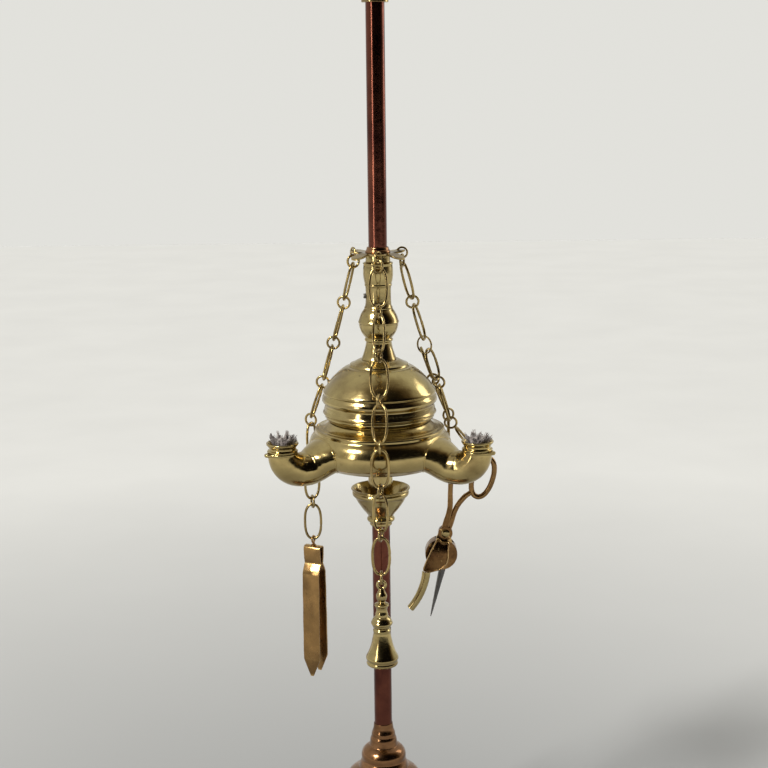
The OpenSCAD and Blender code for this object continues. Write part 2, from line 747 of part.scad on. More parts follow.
module trimmer_tail_chain() {
    u = finger_side - finger_bend_r * sin(tail_angle);
    w = finger_bend_up + finger_bend_r * cos(tail_angle);
    hooked = [rivet_x + u * cos(trimmer_lean) + w * sin(trimmer_lean), trimmer_y + half_lap,
        rivet_z + w * cos(trimmer_lean) - u * sin(trimmer_lean)];
    last_ring = in_row_frame(side_ring_2);
    first = toward(hooked, last_ring, ring_r - (finger_wire + ring_wire) / 2 - 2 * link_gap);
    second = toward(first, last_ring, 2 * ring_r - ring_wire - link_gap);
    near = toward(second, last_ring, ring_reach);
    far = toward(last_ring, first, ring_d / 2 + tail_gap + link_wire / 2);
    color("olive") {
        leaning_link(last_ring, first, first * 2 - last_ring, 60);
        leaning_link(last_ring, second, first, 150);
        link(far, near, 60);
    }
}

foot_shell();
foot_weight();
base_washer();
base_nut();
felt_pad();
pedestal();
rod();
finial();
ring_handle();
drip_cup();
reservoir_body();
font_tube();
spout(spout_angles[0]);  // spout_right
spout(spout_angles[1]);  // spout_left
spout(spout_angles[2]);  // spout_back
wick_cup(spout_angles[0]);  // wick_cup_right
wick_cup(spout_angles[1]);  // wick_cup_left
wick_cup(spout_angles[2]);  // wick_cup_back
wick(spout_angles[0]);  // wick_right
wick(spout_angles[1]);  // wick_left
wick(spout_angles[2]);  // wick_back
lid_dome();
neck_baluster();
set_screw();
crown_plate();
crown_rings();
crown_ferrule();
front_chain_upper();
front_chain_lower();
snuffer_bell();
left_chain_upper();
left_chain_lower();
tweezers_eye();
tweezers_head();
tweezers_leaf(-1);  // tweezers_leaf_front
tweezers_leaf(1);  // tweezers_leaf_back
right_chain_upper();
split_ring();
right_chain_lower();
trimmer_arm_left();
trimmer_cover();
trimmer_gouge();
trimmer_arm_right();
trimmer_box();
trimmer_spike();
trimmer_rivet();
trimmer_tail_chain();
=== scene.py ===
"""Three-spout oil lamp on a rod, with a snuffer, tweezers and a wick trimmer hanging on chains.

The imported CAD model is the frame. Each visible piece here is a finer mesh of one CAD node, in the same place.
Lengths are millimetres and angles are degrees, until as_mesh() turns them into metres.
"""
import json
import math
import random

import bmesh
import bpy
from mathutils import Matrix, Quaternion, Vector

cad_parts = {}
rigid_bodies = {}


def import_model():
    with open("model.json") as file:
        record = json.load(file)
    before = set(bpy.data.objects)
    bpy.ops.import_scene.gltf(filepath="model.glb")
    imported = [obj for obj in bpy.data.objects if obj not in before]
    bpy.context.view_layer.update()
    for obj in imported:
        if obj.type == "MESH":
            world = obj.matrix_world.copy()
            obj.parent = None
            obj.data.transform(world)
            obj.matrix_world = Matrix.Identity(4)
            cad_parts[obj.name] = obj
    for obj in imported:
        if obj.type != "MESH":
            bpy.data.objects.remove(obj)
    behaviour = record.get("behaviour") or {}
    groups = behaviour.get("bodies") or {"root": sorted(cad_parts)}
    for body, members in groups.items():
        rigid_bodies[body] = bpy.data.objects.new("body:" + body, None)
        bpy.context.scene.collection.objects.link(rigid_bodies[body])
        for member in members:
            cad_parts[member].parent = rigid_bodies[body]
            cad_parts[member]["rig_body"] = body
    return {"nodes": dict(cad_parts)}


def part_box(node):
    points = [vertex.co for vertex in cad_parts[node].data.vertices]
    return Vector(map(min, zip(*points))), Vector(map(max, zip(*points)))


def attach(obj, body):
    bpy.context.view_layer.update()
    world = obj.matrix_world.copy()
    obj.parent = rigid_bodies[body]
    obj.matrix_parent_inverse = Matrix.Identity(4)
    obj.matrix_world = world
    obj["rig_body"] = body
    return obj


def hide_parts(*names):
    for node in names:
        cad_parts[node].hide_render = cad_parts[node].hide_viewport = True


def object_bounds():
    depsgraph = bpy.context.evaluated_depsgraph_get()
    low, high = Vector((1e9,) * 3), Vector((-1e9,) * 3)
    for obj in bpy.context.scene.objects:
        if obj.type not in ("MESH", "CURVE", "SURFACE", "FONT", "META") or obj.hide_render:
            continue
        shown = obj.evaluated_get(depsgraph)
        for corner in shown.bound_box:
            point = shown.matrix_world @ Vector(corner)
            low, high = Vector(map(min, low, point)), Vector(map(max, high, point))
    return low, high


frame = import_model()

MM = 0.001
cad_low, cad_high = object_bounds()


# ---- Places that come from the frame ----

def low(node):
    return Vector(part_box(node)[0]) / MM


def high(node):
    return Vector(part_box(node)[1]) / MM


def middle(node):
    return (low(node) + high(node)) / 2


def about_z(angle):
    return Matrix.Rotation(math.radians(angle), 4, "Z")


def about_y(angle):
    return Matrix.Rotation(math.radians(angle), 4, "Y")


foot_r = high("foot_shell").x
rod_r = high("rod").x
pedestal_z = low("pedestal").z
cup_z = low("drip_cup").z
font_z = low("reservoir_body").z
lid_z = high("reservoir_body").z
neck_z = low("neck_baluster").z + 3
crown_z = high("neck_baluster").z
flange_z = low("finial").z
mouth_r = Vector(middle("wick_cup_right")[:2]).length
mouth_z = low("wick_cup_right").z + 3
spout_angles = {"right": -30, "left": 210, "back": 90}
chain_angles = {"front": 270, "left": 152, "right": 30}
slide_r = rod_r + 0.07


# ---- Outlines ----

def arc(centre, r, start, end, steps):
    turns = [math.radians(start + (end - start) * i / steps) for i in range(steps + 1)]
    return [(centre[0] + r * math.cos(a), centre[1] + r * math.sin(a)) for a in turns]


def faired(outline, crisp=0.25, closed=True, gentle=48):
    """Gentle corners become one smooth curve, and sharp corners get a small edge radius."""
    points = [Vector(p) for p in outline]
    made = []
    for i, p in enumerate(points):
        if not closed and i in (0, len(points) - 1):
            made.append(p)
            continue
        to_last, to_next = points[i - 1] - p, points[(i + 1) % len(points)] - p
        turn = 180 - math.degrees(to_last.angle(to_next))
        if turn < 1:
            made.append(p)
            continue
        share, limit = (0.5, 1e9) if turn < gentle else (0.45, crisp)
        start = p + to_last.normalized() * min(share * to_last.length, limit)
        end = p + to_next.normalized() * min(share * to_next.length, limit)
        steps = max(3, math.ceil(turn / 7))
        for s in range(steps + 1):
            t = s / steps
            made.append(start * (1 - t) ** 2 + p * (2 * t * (1 - t)) + end * t ** 2)
    return [p for i, p in enumerate(made) if i == 0 or (p - made[i - 1]).length > 0.002]


def smooth_rows(rows, steps):
    """Rows of numbers with a smooth curve drawn through them, steps points for each stretch."""
    made = []
    last = len(rows) - 1
    for i in range(last):
        a, b, c, d = rows[max(i - 1, 0)], rows[i], rows[i + 1], rows[min(i + 2, last)]
        for s in range(steps):
            t = s / steps
            made.append([
                0.5 * (2 * q + (r - p) * t + (2 * p - 5 * q + 4 * r - u) * t ** 2
                       + (3 * q - p - 3 * r + u) * t ** 3)
                for p, q, r, u in zip(a, b, c, d)
            ])
    return made + [list(rows[last])]


# ---- Shapes: each is (points, faces) in millimetres ----

def grid_faces(rows, columns, rows_wrap, columns_wrap):
    faces = []
    for i in range(rows if rows_wrap else rows - 1):
        for k in range(columns if columns_wrap else columns - 1):
            j, m = (i + 1) % rows, (k + 1) % columns
            faces.append((i * columns + k, i * columns + m, j * columns + m, j * columns + k))
    return faces


def lathe(outline, sides=144, widen=None):
    """A turned solid round Z. An outline that begins and ends on the axis stays open there.
    widen(radius, height, angle) gives the radius where the piece isn't quite round."""
    points = []
    for k in range(sides):
        a = 2 * math.pi * k / sides
        for r, z in outline:
            radius = widen(r, z, a) if widen else r
            points.append((radius * math.cos(a), radius * math.sin(a), z))
    on_axis = outline[0][0] < 1e-6 and outline[-1][0] < 1e-6
    return points, grid_faces(sides, len(outline), True, not on_axis)


def loft(rings, closed=False):
    """A solid through rings of points, each with the same count; the ends of an open one are capped."""
    count = len(rings[0])
    points = [tuple(p) for ring in rings for p in ring]
    faces = grid_faces(len(rings), count, closed, True)
    if not closed:
        faces.append(tuple(range(count)))
        faces.append(tuple(range(len(points) - count, len(points))))
    return points, faces


def tube(path, radius, sides=16, normal=None, closed=False, round_ends=True):
    """A round wire along a path. radius is one number, or one for each point."""
    path = [Vector(p) for p in path]
    count = len(path)
    radii = list(radius) if hasattr(radius, "__len__") else [radius] * count
    rings = []
    across = None
    for i, p in enumerate(path):
        before = path[i - 1] if closed or i else p
        after = path[(i + 1) % count] if closed or i < count - 1 else p
        along = (after - before).normalized()
        if normal is not None:
            across = Vector(normal)
        elif across is None:
            across = along.orthogonal()
        across = (across - along * across.dot(along)).normalized()
        side = along.cross(across)
        caps = [(0, 1)]
        if round_ends and not closed and i in (0, count - 1):
            sign = -1 if i == 0 else 1
            caps = [(sign * math.sin(t), math.cos(t)) for t in (0, 0.5, 0.95, 1.3)]
            caps = caps[::-1] if i == 0 else caps
        for forward, share in caps:
            centre = p + along * (forward * radii[i])
            rings.append([
                centre + (across * math.cos(t) + side * math.sin(t)) * (radii[i] * share)
                for t in (2 * math.pi * k / sides for k in range(sides))
            ])
    return loft(rings, closed)


def ring_path(r, count=96):
    """A round loop in the XZ plane."""
    turns = [2 * math.pi * i / count for i in range(count)]
    return [(r * math.cos(a), 0, r * math.sin(a)) for a in turns]


def oval_path(half_length, half_width, power=2.5, count=96):
    """A long loop in the XZ plane, standing along Z, with slightly bowed sides."""
    path = []
    for i in range(count):
        a = 2 * math.pi * (i + 0.5) / count
        c, s = math.cos(a), math.sin(a)
        path.append((
            half_width * math.copysign(abs(c) ** (2 / power), c), 0,
            half_length * math.copysign(abs(s) ** (2 / power), s),
        ))
    return path


def band(path, half_widths, thickness, edge=0.25):
    """A flat strip with eased edges: its path is in the YZ plane and its width lies along X."""
    rings = []
    count = len(path)
    for i, (y, z) in enumerate(path):
        before, after = path[max(i - 1, 0)], path[min(i + 1, count - 1)]
        along = Vector((after[0] - before[0], after[1] - before[1])).normalized()
        out = Vector((along.y, -along.x))
        w, t = half_widths[i], thickness / 2
        section = []
        for sx, sy in ((1, 1), (-1, 1), (-1, -1), (1, -1)):
            corner = [(0, 1), (0.6, 0.85), (0.85, 0.6), (1, 0)]
            if sx * sy > 0:
                corner = corner[::-1]
            for u, v in corner:
                section.append((sx * (w - edge + edge * u), sy * (t - edge + edge * v)))
        rings.append([(a, y + out.x * b, z + out.y * b) for a, b in section])
    return loft(rings)


def moved(shape, matrix):
    return [tuple(matrix @ Vector(p)) for p in shape[0]], shape[1]


def at(x, y, z=0):
    return Matrix.Translation((x, y, z))


def joined(*shapes):
    points, faces = [], []
    for shape in shapes:
        start = len(points)
        points += shape[0]
        faces += [tuple(start + v for v in face) for face in shape[1]]
    return points, faces


# ---- From shapes to pieces ----

def as_mesh(name, shape, sharp=40):
    mesh = bpy.data.meshes.new(name)
    mesh.from_pydata([[c * MM for c in p] for p in shape[0]], [], shape[1])
    work = bmesh.new()
    work.from_mesh(mesh)
    bmesh.ops.remove_doubles(work, verts=work.verts, dist=1e-7)
    bmesh.ops.recalc_face_normals(work, faces=work.faces)
    work.to_mesh(mesh)
    work.free()
    mesh.shade_smooth()
    mesh.set_sharp_from_angle(angle=math.radians(sharp))
    return mesh


def piece(node, shape, slot, cutters=(), sharp=40):
    """One visible piece that stands for the CAD node of the same name and moves with its body."""
    obj = bpy.data.objects.new(node + "_fine", as_mesh(node, shape, sharp))
    bpy.context.scene.collection.objects.link(obj)
    if cutters:
        drilled(obj, cutters, sharp)
    obj.data.materials.append(materials[slot])
    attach(obj, frame["nodes"][node]["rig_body"])
    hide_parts(node)
    return obj


def drilled(obj, cutters, sharp):
    """Cuts holes and slots, and keeps only the finished mesh."""
    tool = bpy.data.objects.new("cutter", as_mesh("cutter", joined(*cutters)))
    bpy.context.scene.collection.objects.link(tool)
    cut = obj.modifiers.new("cut", "BOOLEAN")
    cut.operation = "DIFFERENCE"
    cut.solver = "EXACT"
    cut.object = tool
    view = bpy.context.evaluated_depsgraph_get()
    obj.data = bpy.data.meshes.new_from_object(obj.evaluated_get(view))
    obj.modifiers.clear()
    bpy.data.objects.remove(tool)
    obj.data.shade_smooth()
    obj.data.set_sharp_from_angle(angle=math.radians(sharp))


def rod_of(r, start, end, sides=48):
    """A plain round bar between two points, for cutting."""
    return tube([start, end], r, sides, round_ends=False)


# ---- Materials ----

def new_material(name):
    material = bpy.data.materials.new(name)
    material.use_nodes = True
    return material, material.node_tree


def add(tree, kind, inputs=None, **settings):
    made = tree.nodes.new(kind)
    for key, value in settings.items():
        setattr(made, key, value)
    for key, value in (inputs or {}).items():
        if isinstance(value, bpy.types.NodeSocket):
            tree.links.new(value, made.inputs[key])
        else:
            made.inputs[key].default_value = value
    return made


def stretched(tree, scale):
    coords = add(tree, "ShaderNodeTexCoord").outputs["Object"]
    return add(tree, "ShaderNodeMapping", {"Vector": coords, "Scale": scale}).outputs["Vector"]


def noise(tree, scale, detail=4, roughness=0.55, stretch=(1, 1, 1), distortion=0.0):
    return add(tree, "ShaderNodeTexNoise", {
        "Vector": stretched(tree, stretch), "Scale": scale, "Detail": detail,
        "Roughness": roughness, "Distortion": distortion,
    }).outputs["Fac"]


def ramp(tree, factor, stops):
    made = add(tree, "ShaderNodeValToRGB", {"Fac": factor})
    elements = made.color_ramp.elements
    while len(elements) < len(stops):
        elements.new(0.5)
    for element, (position, colour) in zip(elements, stops):
        element.position = position
        element.color = (*colour, 1) if len(colour) == 3 else colour
    return made.outputs["Color"]


def ranged(tree, value, low_in, high_in, low_out, high_out):
    return add(tree, "ShaderNodeMapRange", {
        "Value": value, "From Min": low_in, "From Max": high_in, "To Min": low_out, "To Max": high_out,
    }).outputs["Result"]


def mixed(tree, factor, a, b, blend="MIX"):
    made = add(tree, "ShaderNodeMix", data_type="RGBA", blend_type=blend)
    tree.links.new(factor, made.inputs[0])
    for socket, value in ((made.inputs[6], a), (made.inputs[7], b)):
        if isinstance(value, bpy.types.NodeSocket):
            tree.links.new(value, socket)
        else:
            socket.default_value = (*value, 1)
    return made.outputs[2]


def bumps(tree, layers):
    """Layers of relief, each (height socket, depth in metres, strength), one over the other."""
    normal = None
    for height, depth, strength in layers:
        inputs = {"Height": height, "Distance": depth, "Strength": strength}
        if normal is not None:
            inputs["Normal"] = normal
        normal = add(tree, "ShaderNodeBump", inputs).outputs["Normal"]
    return normal


def metal(name, clean, aged, stain, polish=(0.14, 0.30), stain_share=0.5, turned=0.25, patch=28, worn=None):
    """Old polished metal: clean where it is rubbed, aged in soft clouds, stained in hollows and spots."""
    material, tree = new_material(name)
    clouds = noise(tree, patch, 8, 0.62, distortion=0.4)
    spots = noise(tree, patch * 7, 6, 0.7)
    smears = noise(tree, patch * 2.2, 5, 0.6, stretch=(1, 1, 0.35))
    edge = add(tree, "ShaderNodeNewGeometry").outputs["Pointiness"]
    tone = ramp(tree, clouds, [(0.34, clean), (0.62, aged)])
    freckles = ranged(tree, spots, 0.60, 0.74, 0, stain_share)
    tone = mixed(tree, freckles, tone, stain)
    hollow = ranged(tree, edge, 0.492, 0.466, 0, 0.85)
    tone = mixed(tree, hollow, tone, stain)
    rubbed = ranged(tree, edge, 0.515, 0.56, 0, 0.7)
    tone = mixed(tree, rubbed, tone, worn or clean)
    rough = ranged(tree, smears, 0.3, 0.72, *polish)
    rings = noise(tree, 2600, 2, 0.5, stretch=(0.02, 0.02, 1))
    grain = noise(tree, 900, 5, 0.65)
    dents = noise(tree, 130, 3, 0.5)
    shader = tree.nodes["Principled BSDF"]
    tree.links.new(tone, shader.inputs["Base Color"])
    tree.links.new(rough, shader.inputs["Roughness"])
    shader.inputs["Metallic"].default_value = 1
    normal = bumps(tree, [(dents, 0.0004, 0.35), (rings, 0.00003, turned), (grain, 0.00004, 0.3)])
    tree.links.new(normal, shader.inputs["Normal"])
    return material


def felt():
    material, tree = new_material("felt")
    fibres = noise(tree, 1400, 6, 0.7, distortion=1.5)
    tone = ramp(tree, fibres, [(0.3, (0.012, 0.045, 0.022)), (0.7, (0.05, 0.13, 0.07))])
    shader = tree.nodes["Principled BSDF"]
    tree.links.new(tone, shader.inputs["Base Color"])
    shader.inputs["Roughness"].default_value = 0.95
    shader.inputs["Sheen Weight"].default_value = 0.4
    tree.links.new(bumps(tree, [(fibres, 0.0004, 0.8)]), shader.inputs["Normal"])
    return material


def cotton():
    """Grey frayed cotton, scorched in places at its tips."""
    material, tree = new_material("cotton")
    clouds = noise(tree, 260, 4, 0.6)
    fibres = noise(tree, 2200, 4, 0.7, stretch=(1, 1, 0.2))
    tone = ramp(tree, clouds, [
        (0.30, (0.05, 0.04, 0.038)), (0.46, (0.22, 0.19, 0.185)), (0.62, (0.46, 0.42, 0.40)),
        (0.8, (0.66, 0.62, 0.58))])
    shader = tree.nodes["Principled BSDF"]
    tree.links.new(tone, shader.inputs["Base Color"])
    shader.inputs["Roughness"].default_value = 0.9
    shader.inputs["Sheen Weight"].default_value = 0.3
    tree.links.new(bumps(tree, [(fibres, 0.0002, 0.6)]), shader.inputs["Normal"])
    return material


materials = {
    "cast_brass": metal("cast_brass", (0.56, 0.44, 0.19), (0.32, 0.235, 0.10), (0.09, 0.05, 0.02),
                        polish=(0.10, 0.26), turned=0.12),
    "turned_brass": metal("turned_brass", (0.56, 0.45, 0.20), (0.30, 0.22, 0.10), (0.10, 0.055, 0.025),
                          polish=(0.09, 0.25), turned=0.3),
    "chain_brass": metal("chain_brass", (0.52, 0.39, 0.16), (0.17, 0.115, 0.05), (0.03, 0.02, 0.012),
                         polish=(0.14, 0.32), stain_share=0.9, patch=60, turned=0.05),
    "bronze": metal("bronze", (0.36, 0.20, 0.075), (0.12, 0.06, 0.025), (0.018, 0.012, 0.01),
                    polish=(0.14, 0.34), stain_share=0.9, patch=55, turned=0.05, worn=(0.80, 0.54, 0.22)),
    "copper_rod": metal("copper_rod", (0.20, 0.068, 0.042), (0.08, 0.026, 0.02), (0.02, 0.01, 0.009),
                        polish=(0.10, 0.26), turned=0.1, patch=22),
    "copper_foot": metal("copper_foot", (0.36, 0.19, 0.09), (0.18, 0.09, 0.042), (0.05, 0.026, 0.016),
                         polish=(0.13, 0.30), turned=0.3),
    "steel": metal("steel", (0.22, 0.215, 0.21), (0.11, 0.105, 0.10), (0.05, 0.04, 0.03),
                   polish=(0.28, 0.48), turned=0.2),
    "iron": metal("iron", (0.10, 0.10, 0.10), (0.05, 0.05, 0.05), (0.09, 0.045, 0.025),
                  polish=(0.55, 0.75), turned=0.05),
    "felt": felt(),
    "cotton": cotton(),
}


def keep_cad_node(node, slot):
    """A CAD node whose own shape is shown, with a better material."""
    obj = frame["nodes"][node]
    obj.data.materials.clear()
    obj.data.materials.append(materials[slot])


# ---- Stand ----

def foot():
    r = foot_r
    z = pedestal_z
    outline = faired([
        (rod_r + 0.05, z), (22, z), (24, z - 0.3), (26, z - 1.4), (36, z - 2.6), (42.5, z - 4.4),
        (47, z - 6.2), (48.4, z - 6.4), (49.2, z - 8), (52, z - 9.6), (54.6, z - 12.4), (55.2, z - 14),
        (58.4, z - 14), (60, z - 14.6), (61.4, z - 16.6), (63.5, z - 19.6), (r - 5.5, 13.6),
        (r - 2.2, 10.4), (r - 0.4, 7.6), (r, 5.5), (r, 4), (r - 0.8, 3.4), (r - 0.8, 2.8), (r, 2.2),
        (r - 0.2, 0.8), (r - 4, 0.8), (r - 4, 6), (r - 8, 11), (58, 18), (54, 19.5), (50, 24), (45, 28.5),
        (35, 32), (24, 33.4), (rod_r + 0.05, 33.5),
    ])
    piece("foot_shell", lathe(outline, 192), "copper_foot")


def pedestal():
    z = pedestal_z
    outline = faired(
        [(rod_r + 0.05, z), (34, z), (34, z + 0.7), (33.2, z + 2), (29.5, z + 3.1), (26.6, z + 4.4),
         (23, z + 7), (20.4, z + 10.4), (19, z + 13)]
        + arc((17.5, z + 17), 3, -60, 70, 6)
        + [(15.8, z + 21), (14.9, z + 24), (14.7, z + 28), (15.6, z + 33)]
        + arc((15.6, z + 48), 8.5, -50, 60, 8)
        + [(15.6, z + 57.4), (15.3, z + 58.4), (14.6, z + 61.2)]
        + arc((7.2, z + 65.5), 6.8, -20, 55, 6)
        + [(8.9, z + 72.2), (8.4, z + 74.6), (8.2, z + 77), (7.4, z + 78.5), (7.4, z + 80.6),
           (6.4, z + 82.6), (rod_r + 0.35, z + 87), (rod_r + 0.05, z + 87)])
    piece("pedestal", lathe(outline), "copper_foot")


def rod():
    bottom, top = low("rod").z, high("rod").z
    steps = 60
    sides = [(rod_r, bottom + 0.5 + (top - bottom - 1) * i / steps) for i in range(steps + 1)]
    outline = [(0, bottom), (rod_r - 0.5, bottom)] + sides + [(rod_r - 0.5, top), (0, top)]
    piece("rod", lathe(outline, 96), "copper_rod")


def finial():
    z = flange_z
    outline = faired(
        [(rod_r + 0.05, z), (7.8, z), (7.8, z + 2.6), (6.6, z + 4), (6.1, z + 5.6), (5.9, z + 7.5),
         (6.6, z + 9), (6.6, z + 9.8)]
        + arc((0, z + 20), 10.6, -50, 52, 12)
        + [(6.2, z + 28.8), (5, z + 30), (4.7, z + 31.6), (6.2, z + 32.8), (6.6, z + 33.8), (6.6, z + 34.8),
           (6, z + 36.2), (4.5, z + 37)], closed=False)
    inside = high("rod").z + 0.2
    outline = [(0, inside), (rod_r + 0.05, inside), *outline, (0, z + 37)]
    piece("finial", lathe(outline), "turned_brass")


def ring_handle():
    wire = 5
    outer = (high("ring_handle").x - low("ring_handle").x) / 2
    centre_z = high("ring_handle").z - outer
    path = ring_path(outer - wire / 2, 144)
    rubbed = [
        wire / 2 * (1 - 0.035 * math.exp(-((math.degrees(math.atan2(p[2], p[0])) - 90) / 22) ** 2))
        for p in path]
    ring = tube(path, rubbed, 32, normal=(0, 1, 0), closed=True)
    seat = rod_of(8, (0, 0, flange_z + 32), (0, 0, flange_z + 37))
    piece("ring_handle", moved(ring, at(0, 0, centre_z)), "turned_brass", cutters=[seat])


# ---- Drip cup ----

def drip_cup():
    z = cup_z
    top = high("drip_cup").z
    outline = faired([
        (slide_r, z), (6.5, z), (6.9, z + 0.6), (6.8, z + 1.6), (7.2, z + 2.2), (8.2, z + 2.8),
        (8.6, z + 3.8), (8.2, z + 4.8), (7.3, z + 5.4), (7.9, z + 6.4), (9.4, z + 8.4), (11.1, z + 10.4),
        (12.6, z + 12.6), (14.2, z + 15), (15.4, z + 17.4), (16, z + 18.4), (16.9, z + 18.9),
        (17.3, z + 19.8), (17.3, z + 21), (16.8, z + 21.6), (16.8, z + 22.2), (17.7, z + 22.7),
        (18, z + 23.1), (17.8, z + 23.5), (16.6, z + 23.5), (15.4, z + 21.4), (13.7, z + 17),
        (11.3, z + 13), (8.2, z + 9), (7.4, z + 8.6), (7.4, top), (slide_r, top),
    ], crisp=0.2)
    piece("drip_cup", lathe(outline), "turned_brass")


# ---- Font ----

belly_r = 43.2


def belly_outline():
    z = font_z
    return faired(
        [(29, z), (33, z), (35.8, z + 1), (37.5, z + 2.2)]
        + arc((belly_r - 11.5, z + 11.5), 11.5, -42, 48, 12)
        + [(38.9, z + 21), (39.1, z + 21.8), (38.9, z + 22.8), (38, z + 23.3), (36.4, z + 23.3),
           (35.8, z + 23.8), (34.6, z + 23.9), (33, z + 24.6), (31.6, z + 25.8), (31, z + 26.6),
           (30.6, lid_z)], crisp=0.2, closed=False)


def reservoir():
    z = font_z
    inside = faired(
        [(27.2, lid_z), (27.2, z + 26), (29.2, z + 24.6), (32, z + 23), (35.2, z + 22), (37, z + 21.6),
         (37.2, z + 20)]
        + arc((belly_r - 11.5, z + 11.5), 9.9, 46, -40, 10)
        + [(36.3, z + 3.6), (32.5, z + 1.6), (rod_r + 1.6, z + 1.6), (rod_r + 1.6, z)], closed=False)
    oil_ways = [
        moved(rod_of(6.5, (30, 0, z + 9.5), (50, 0, z + 9.5)), about_z(a)) for a in spout_angles.values()
    ]
    piece("reservoir_body", lathe(belly_outline() + inside, 192), "cast_brass", cutters=oil_ways)


# Each row: distance from the rod, height above the font's underside, half height and half width
spout_rows = [
    (34, 10.5, 10.6, 20), (38, 9.4, 10.5, 17.5), (42, 7.4, 10.4, 15), (45.5, 5.4, 10.3, 13),
    (49, 4.1, 10.2, 11.5),
] + [
    (x, z, h, w) for (x, z), h, w in zip(
        arc((53.5, 16), 12, -88, 0, 9),
        (10.1, 10, 9.9, 9.8, 9.7, 9.5, 9.3, 9, 8.8, 8.6),
        (10.6, 10.2, 10, 9.9, 9.8, 9.6, 9.4, 9.1, 8.8, 8.6))
]
spout_wall = 1.7


def belly_radius(z, outline):
    """The font's outside radius at a height, or 0 above and below it."""
    reach = 0
    for (r1, z1), (r2, z2) in zip(outline, outline[1:]):
        if min(z1, z2) <= z <= max(z1, z2) and z1 != z2:
            reach = max(reach, r1 + (r2 - r1) * (z - z1) / (z2 - z1))
    return reach


def spout_ring(rows, i, thinner, sides):
    x, z, h, w = rows[i]
    before, after = rows[max(i - 1, 0)], rows[min(i + 1, len(rows) - 1)]
    along = Vector((after[0] - before[0], after[1] - before[1])).normalized()
    if i == len(rows) - 1:
        along = Vector((0, 1))
    ring = []
    for k in range(sides):
        t = 2 * math.pi * k / sides
        up = (h - thinner) * math.cos(t)
        ring.append(Vector((x - along.y * up, (w - thinner) * math.sin(t), font_z + z + along.x * up)))
    return ring


def spout(name):
    """Hollow arm that leaves the belly wide, dips, and turns up into the burner."""
    sides = 72
    outline = belly_outline()
    rows = smooth_rows(spout_rows, 7)
    outer = [spout_ring(rows, i, 0, sides) for i in range(len(rows))]
    inner = [spout_ring(rows, i, spout_wall, sides) for i in range(len(rows))]
    seam = []
    for k in range(sides):
        outside = [p[k].xy.length - belly_radius(p[k].z, outline) for p in outer]
        crossing = max((i for i in range(len(outer) - 1) if outside[i] <= 0), default=None)
        if crossing is not None:
            share = outside[crossing] / (outside[crossing] - outside[crossing + 1])
            seam.append(outer[crossing][k].lerp(outer[crossing + 1][k], share))
    for ring in outer + inner:
        for p in ring:
            wall = belly_radius(p.z, outline) - 0.9
            if 0 < p.xy.length < wall:
                p.xy *= wall / p.xy.length
    shell = loft(outer + inner[::-1], closed=True)
    bead = tube(seam, 0.42, 10, closed=True)
    lip_point = 2.7
    lip = lathe(
        faired([(7.4, mouth_z - 1.9), (8.5, mouth_z - 1.9), (9, mouth_z - 1), (8.9, mouth_z - 0.2),
                (8.4, mouth_z), (7.4, mouth_z)], crisp=0.3),
        96, widen=lambda r, z, a:
            r + (r > 7.6) * lip_point * math.exp(-((min(a, 2 * math.pi - a)) / 0.26) ** 2))
    shape = joined(shell, bead, moved(lip, at(mouth_r, 0)))
    piece("spout_" + name, moved(shape, about_z(spout_angles[name])), "cast_brass")


def wick_cup(name):
    z = mouth_z
    outline = faired([
        (5.6, z - 3), (6.85, z - 3), (6.85, z + 0.05), (8.4, z + 0.05), (8.9, z + 0.3), (9, z + 0.9),
        (8.5, z + 1.3), (7.9, z + 1.6), (7.8, z + 2.4), (8.3, z + 3.4), (9.1, z + 4.4), (9.5, z + 5),
        (9.4, z + 5.6), (9, z + 5.8), (8.4, z + 5.6), (7.4, z + 4), (6.8, z + 3), (5.6, z + 2),
    ], crisp=0.2)
    centre = middle("wick_cup_" + name)
    uneven = random.Random(name)
    waves = [(uneven.uniform(0.04, 0.12), n, uneven.uniform(0, 6.28)) for n in (2, 3, 5)]

    def hammered(r, z_here, a):
        return r + (z_here > z + 4) * sum(d * math.sin(n * a + p) for d, n, p in waves)

    piece("wick_cup_" + name, moved(lathe(outline, 96, hammered), at(centre.x, centre.y)), "cast_brass")


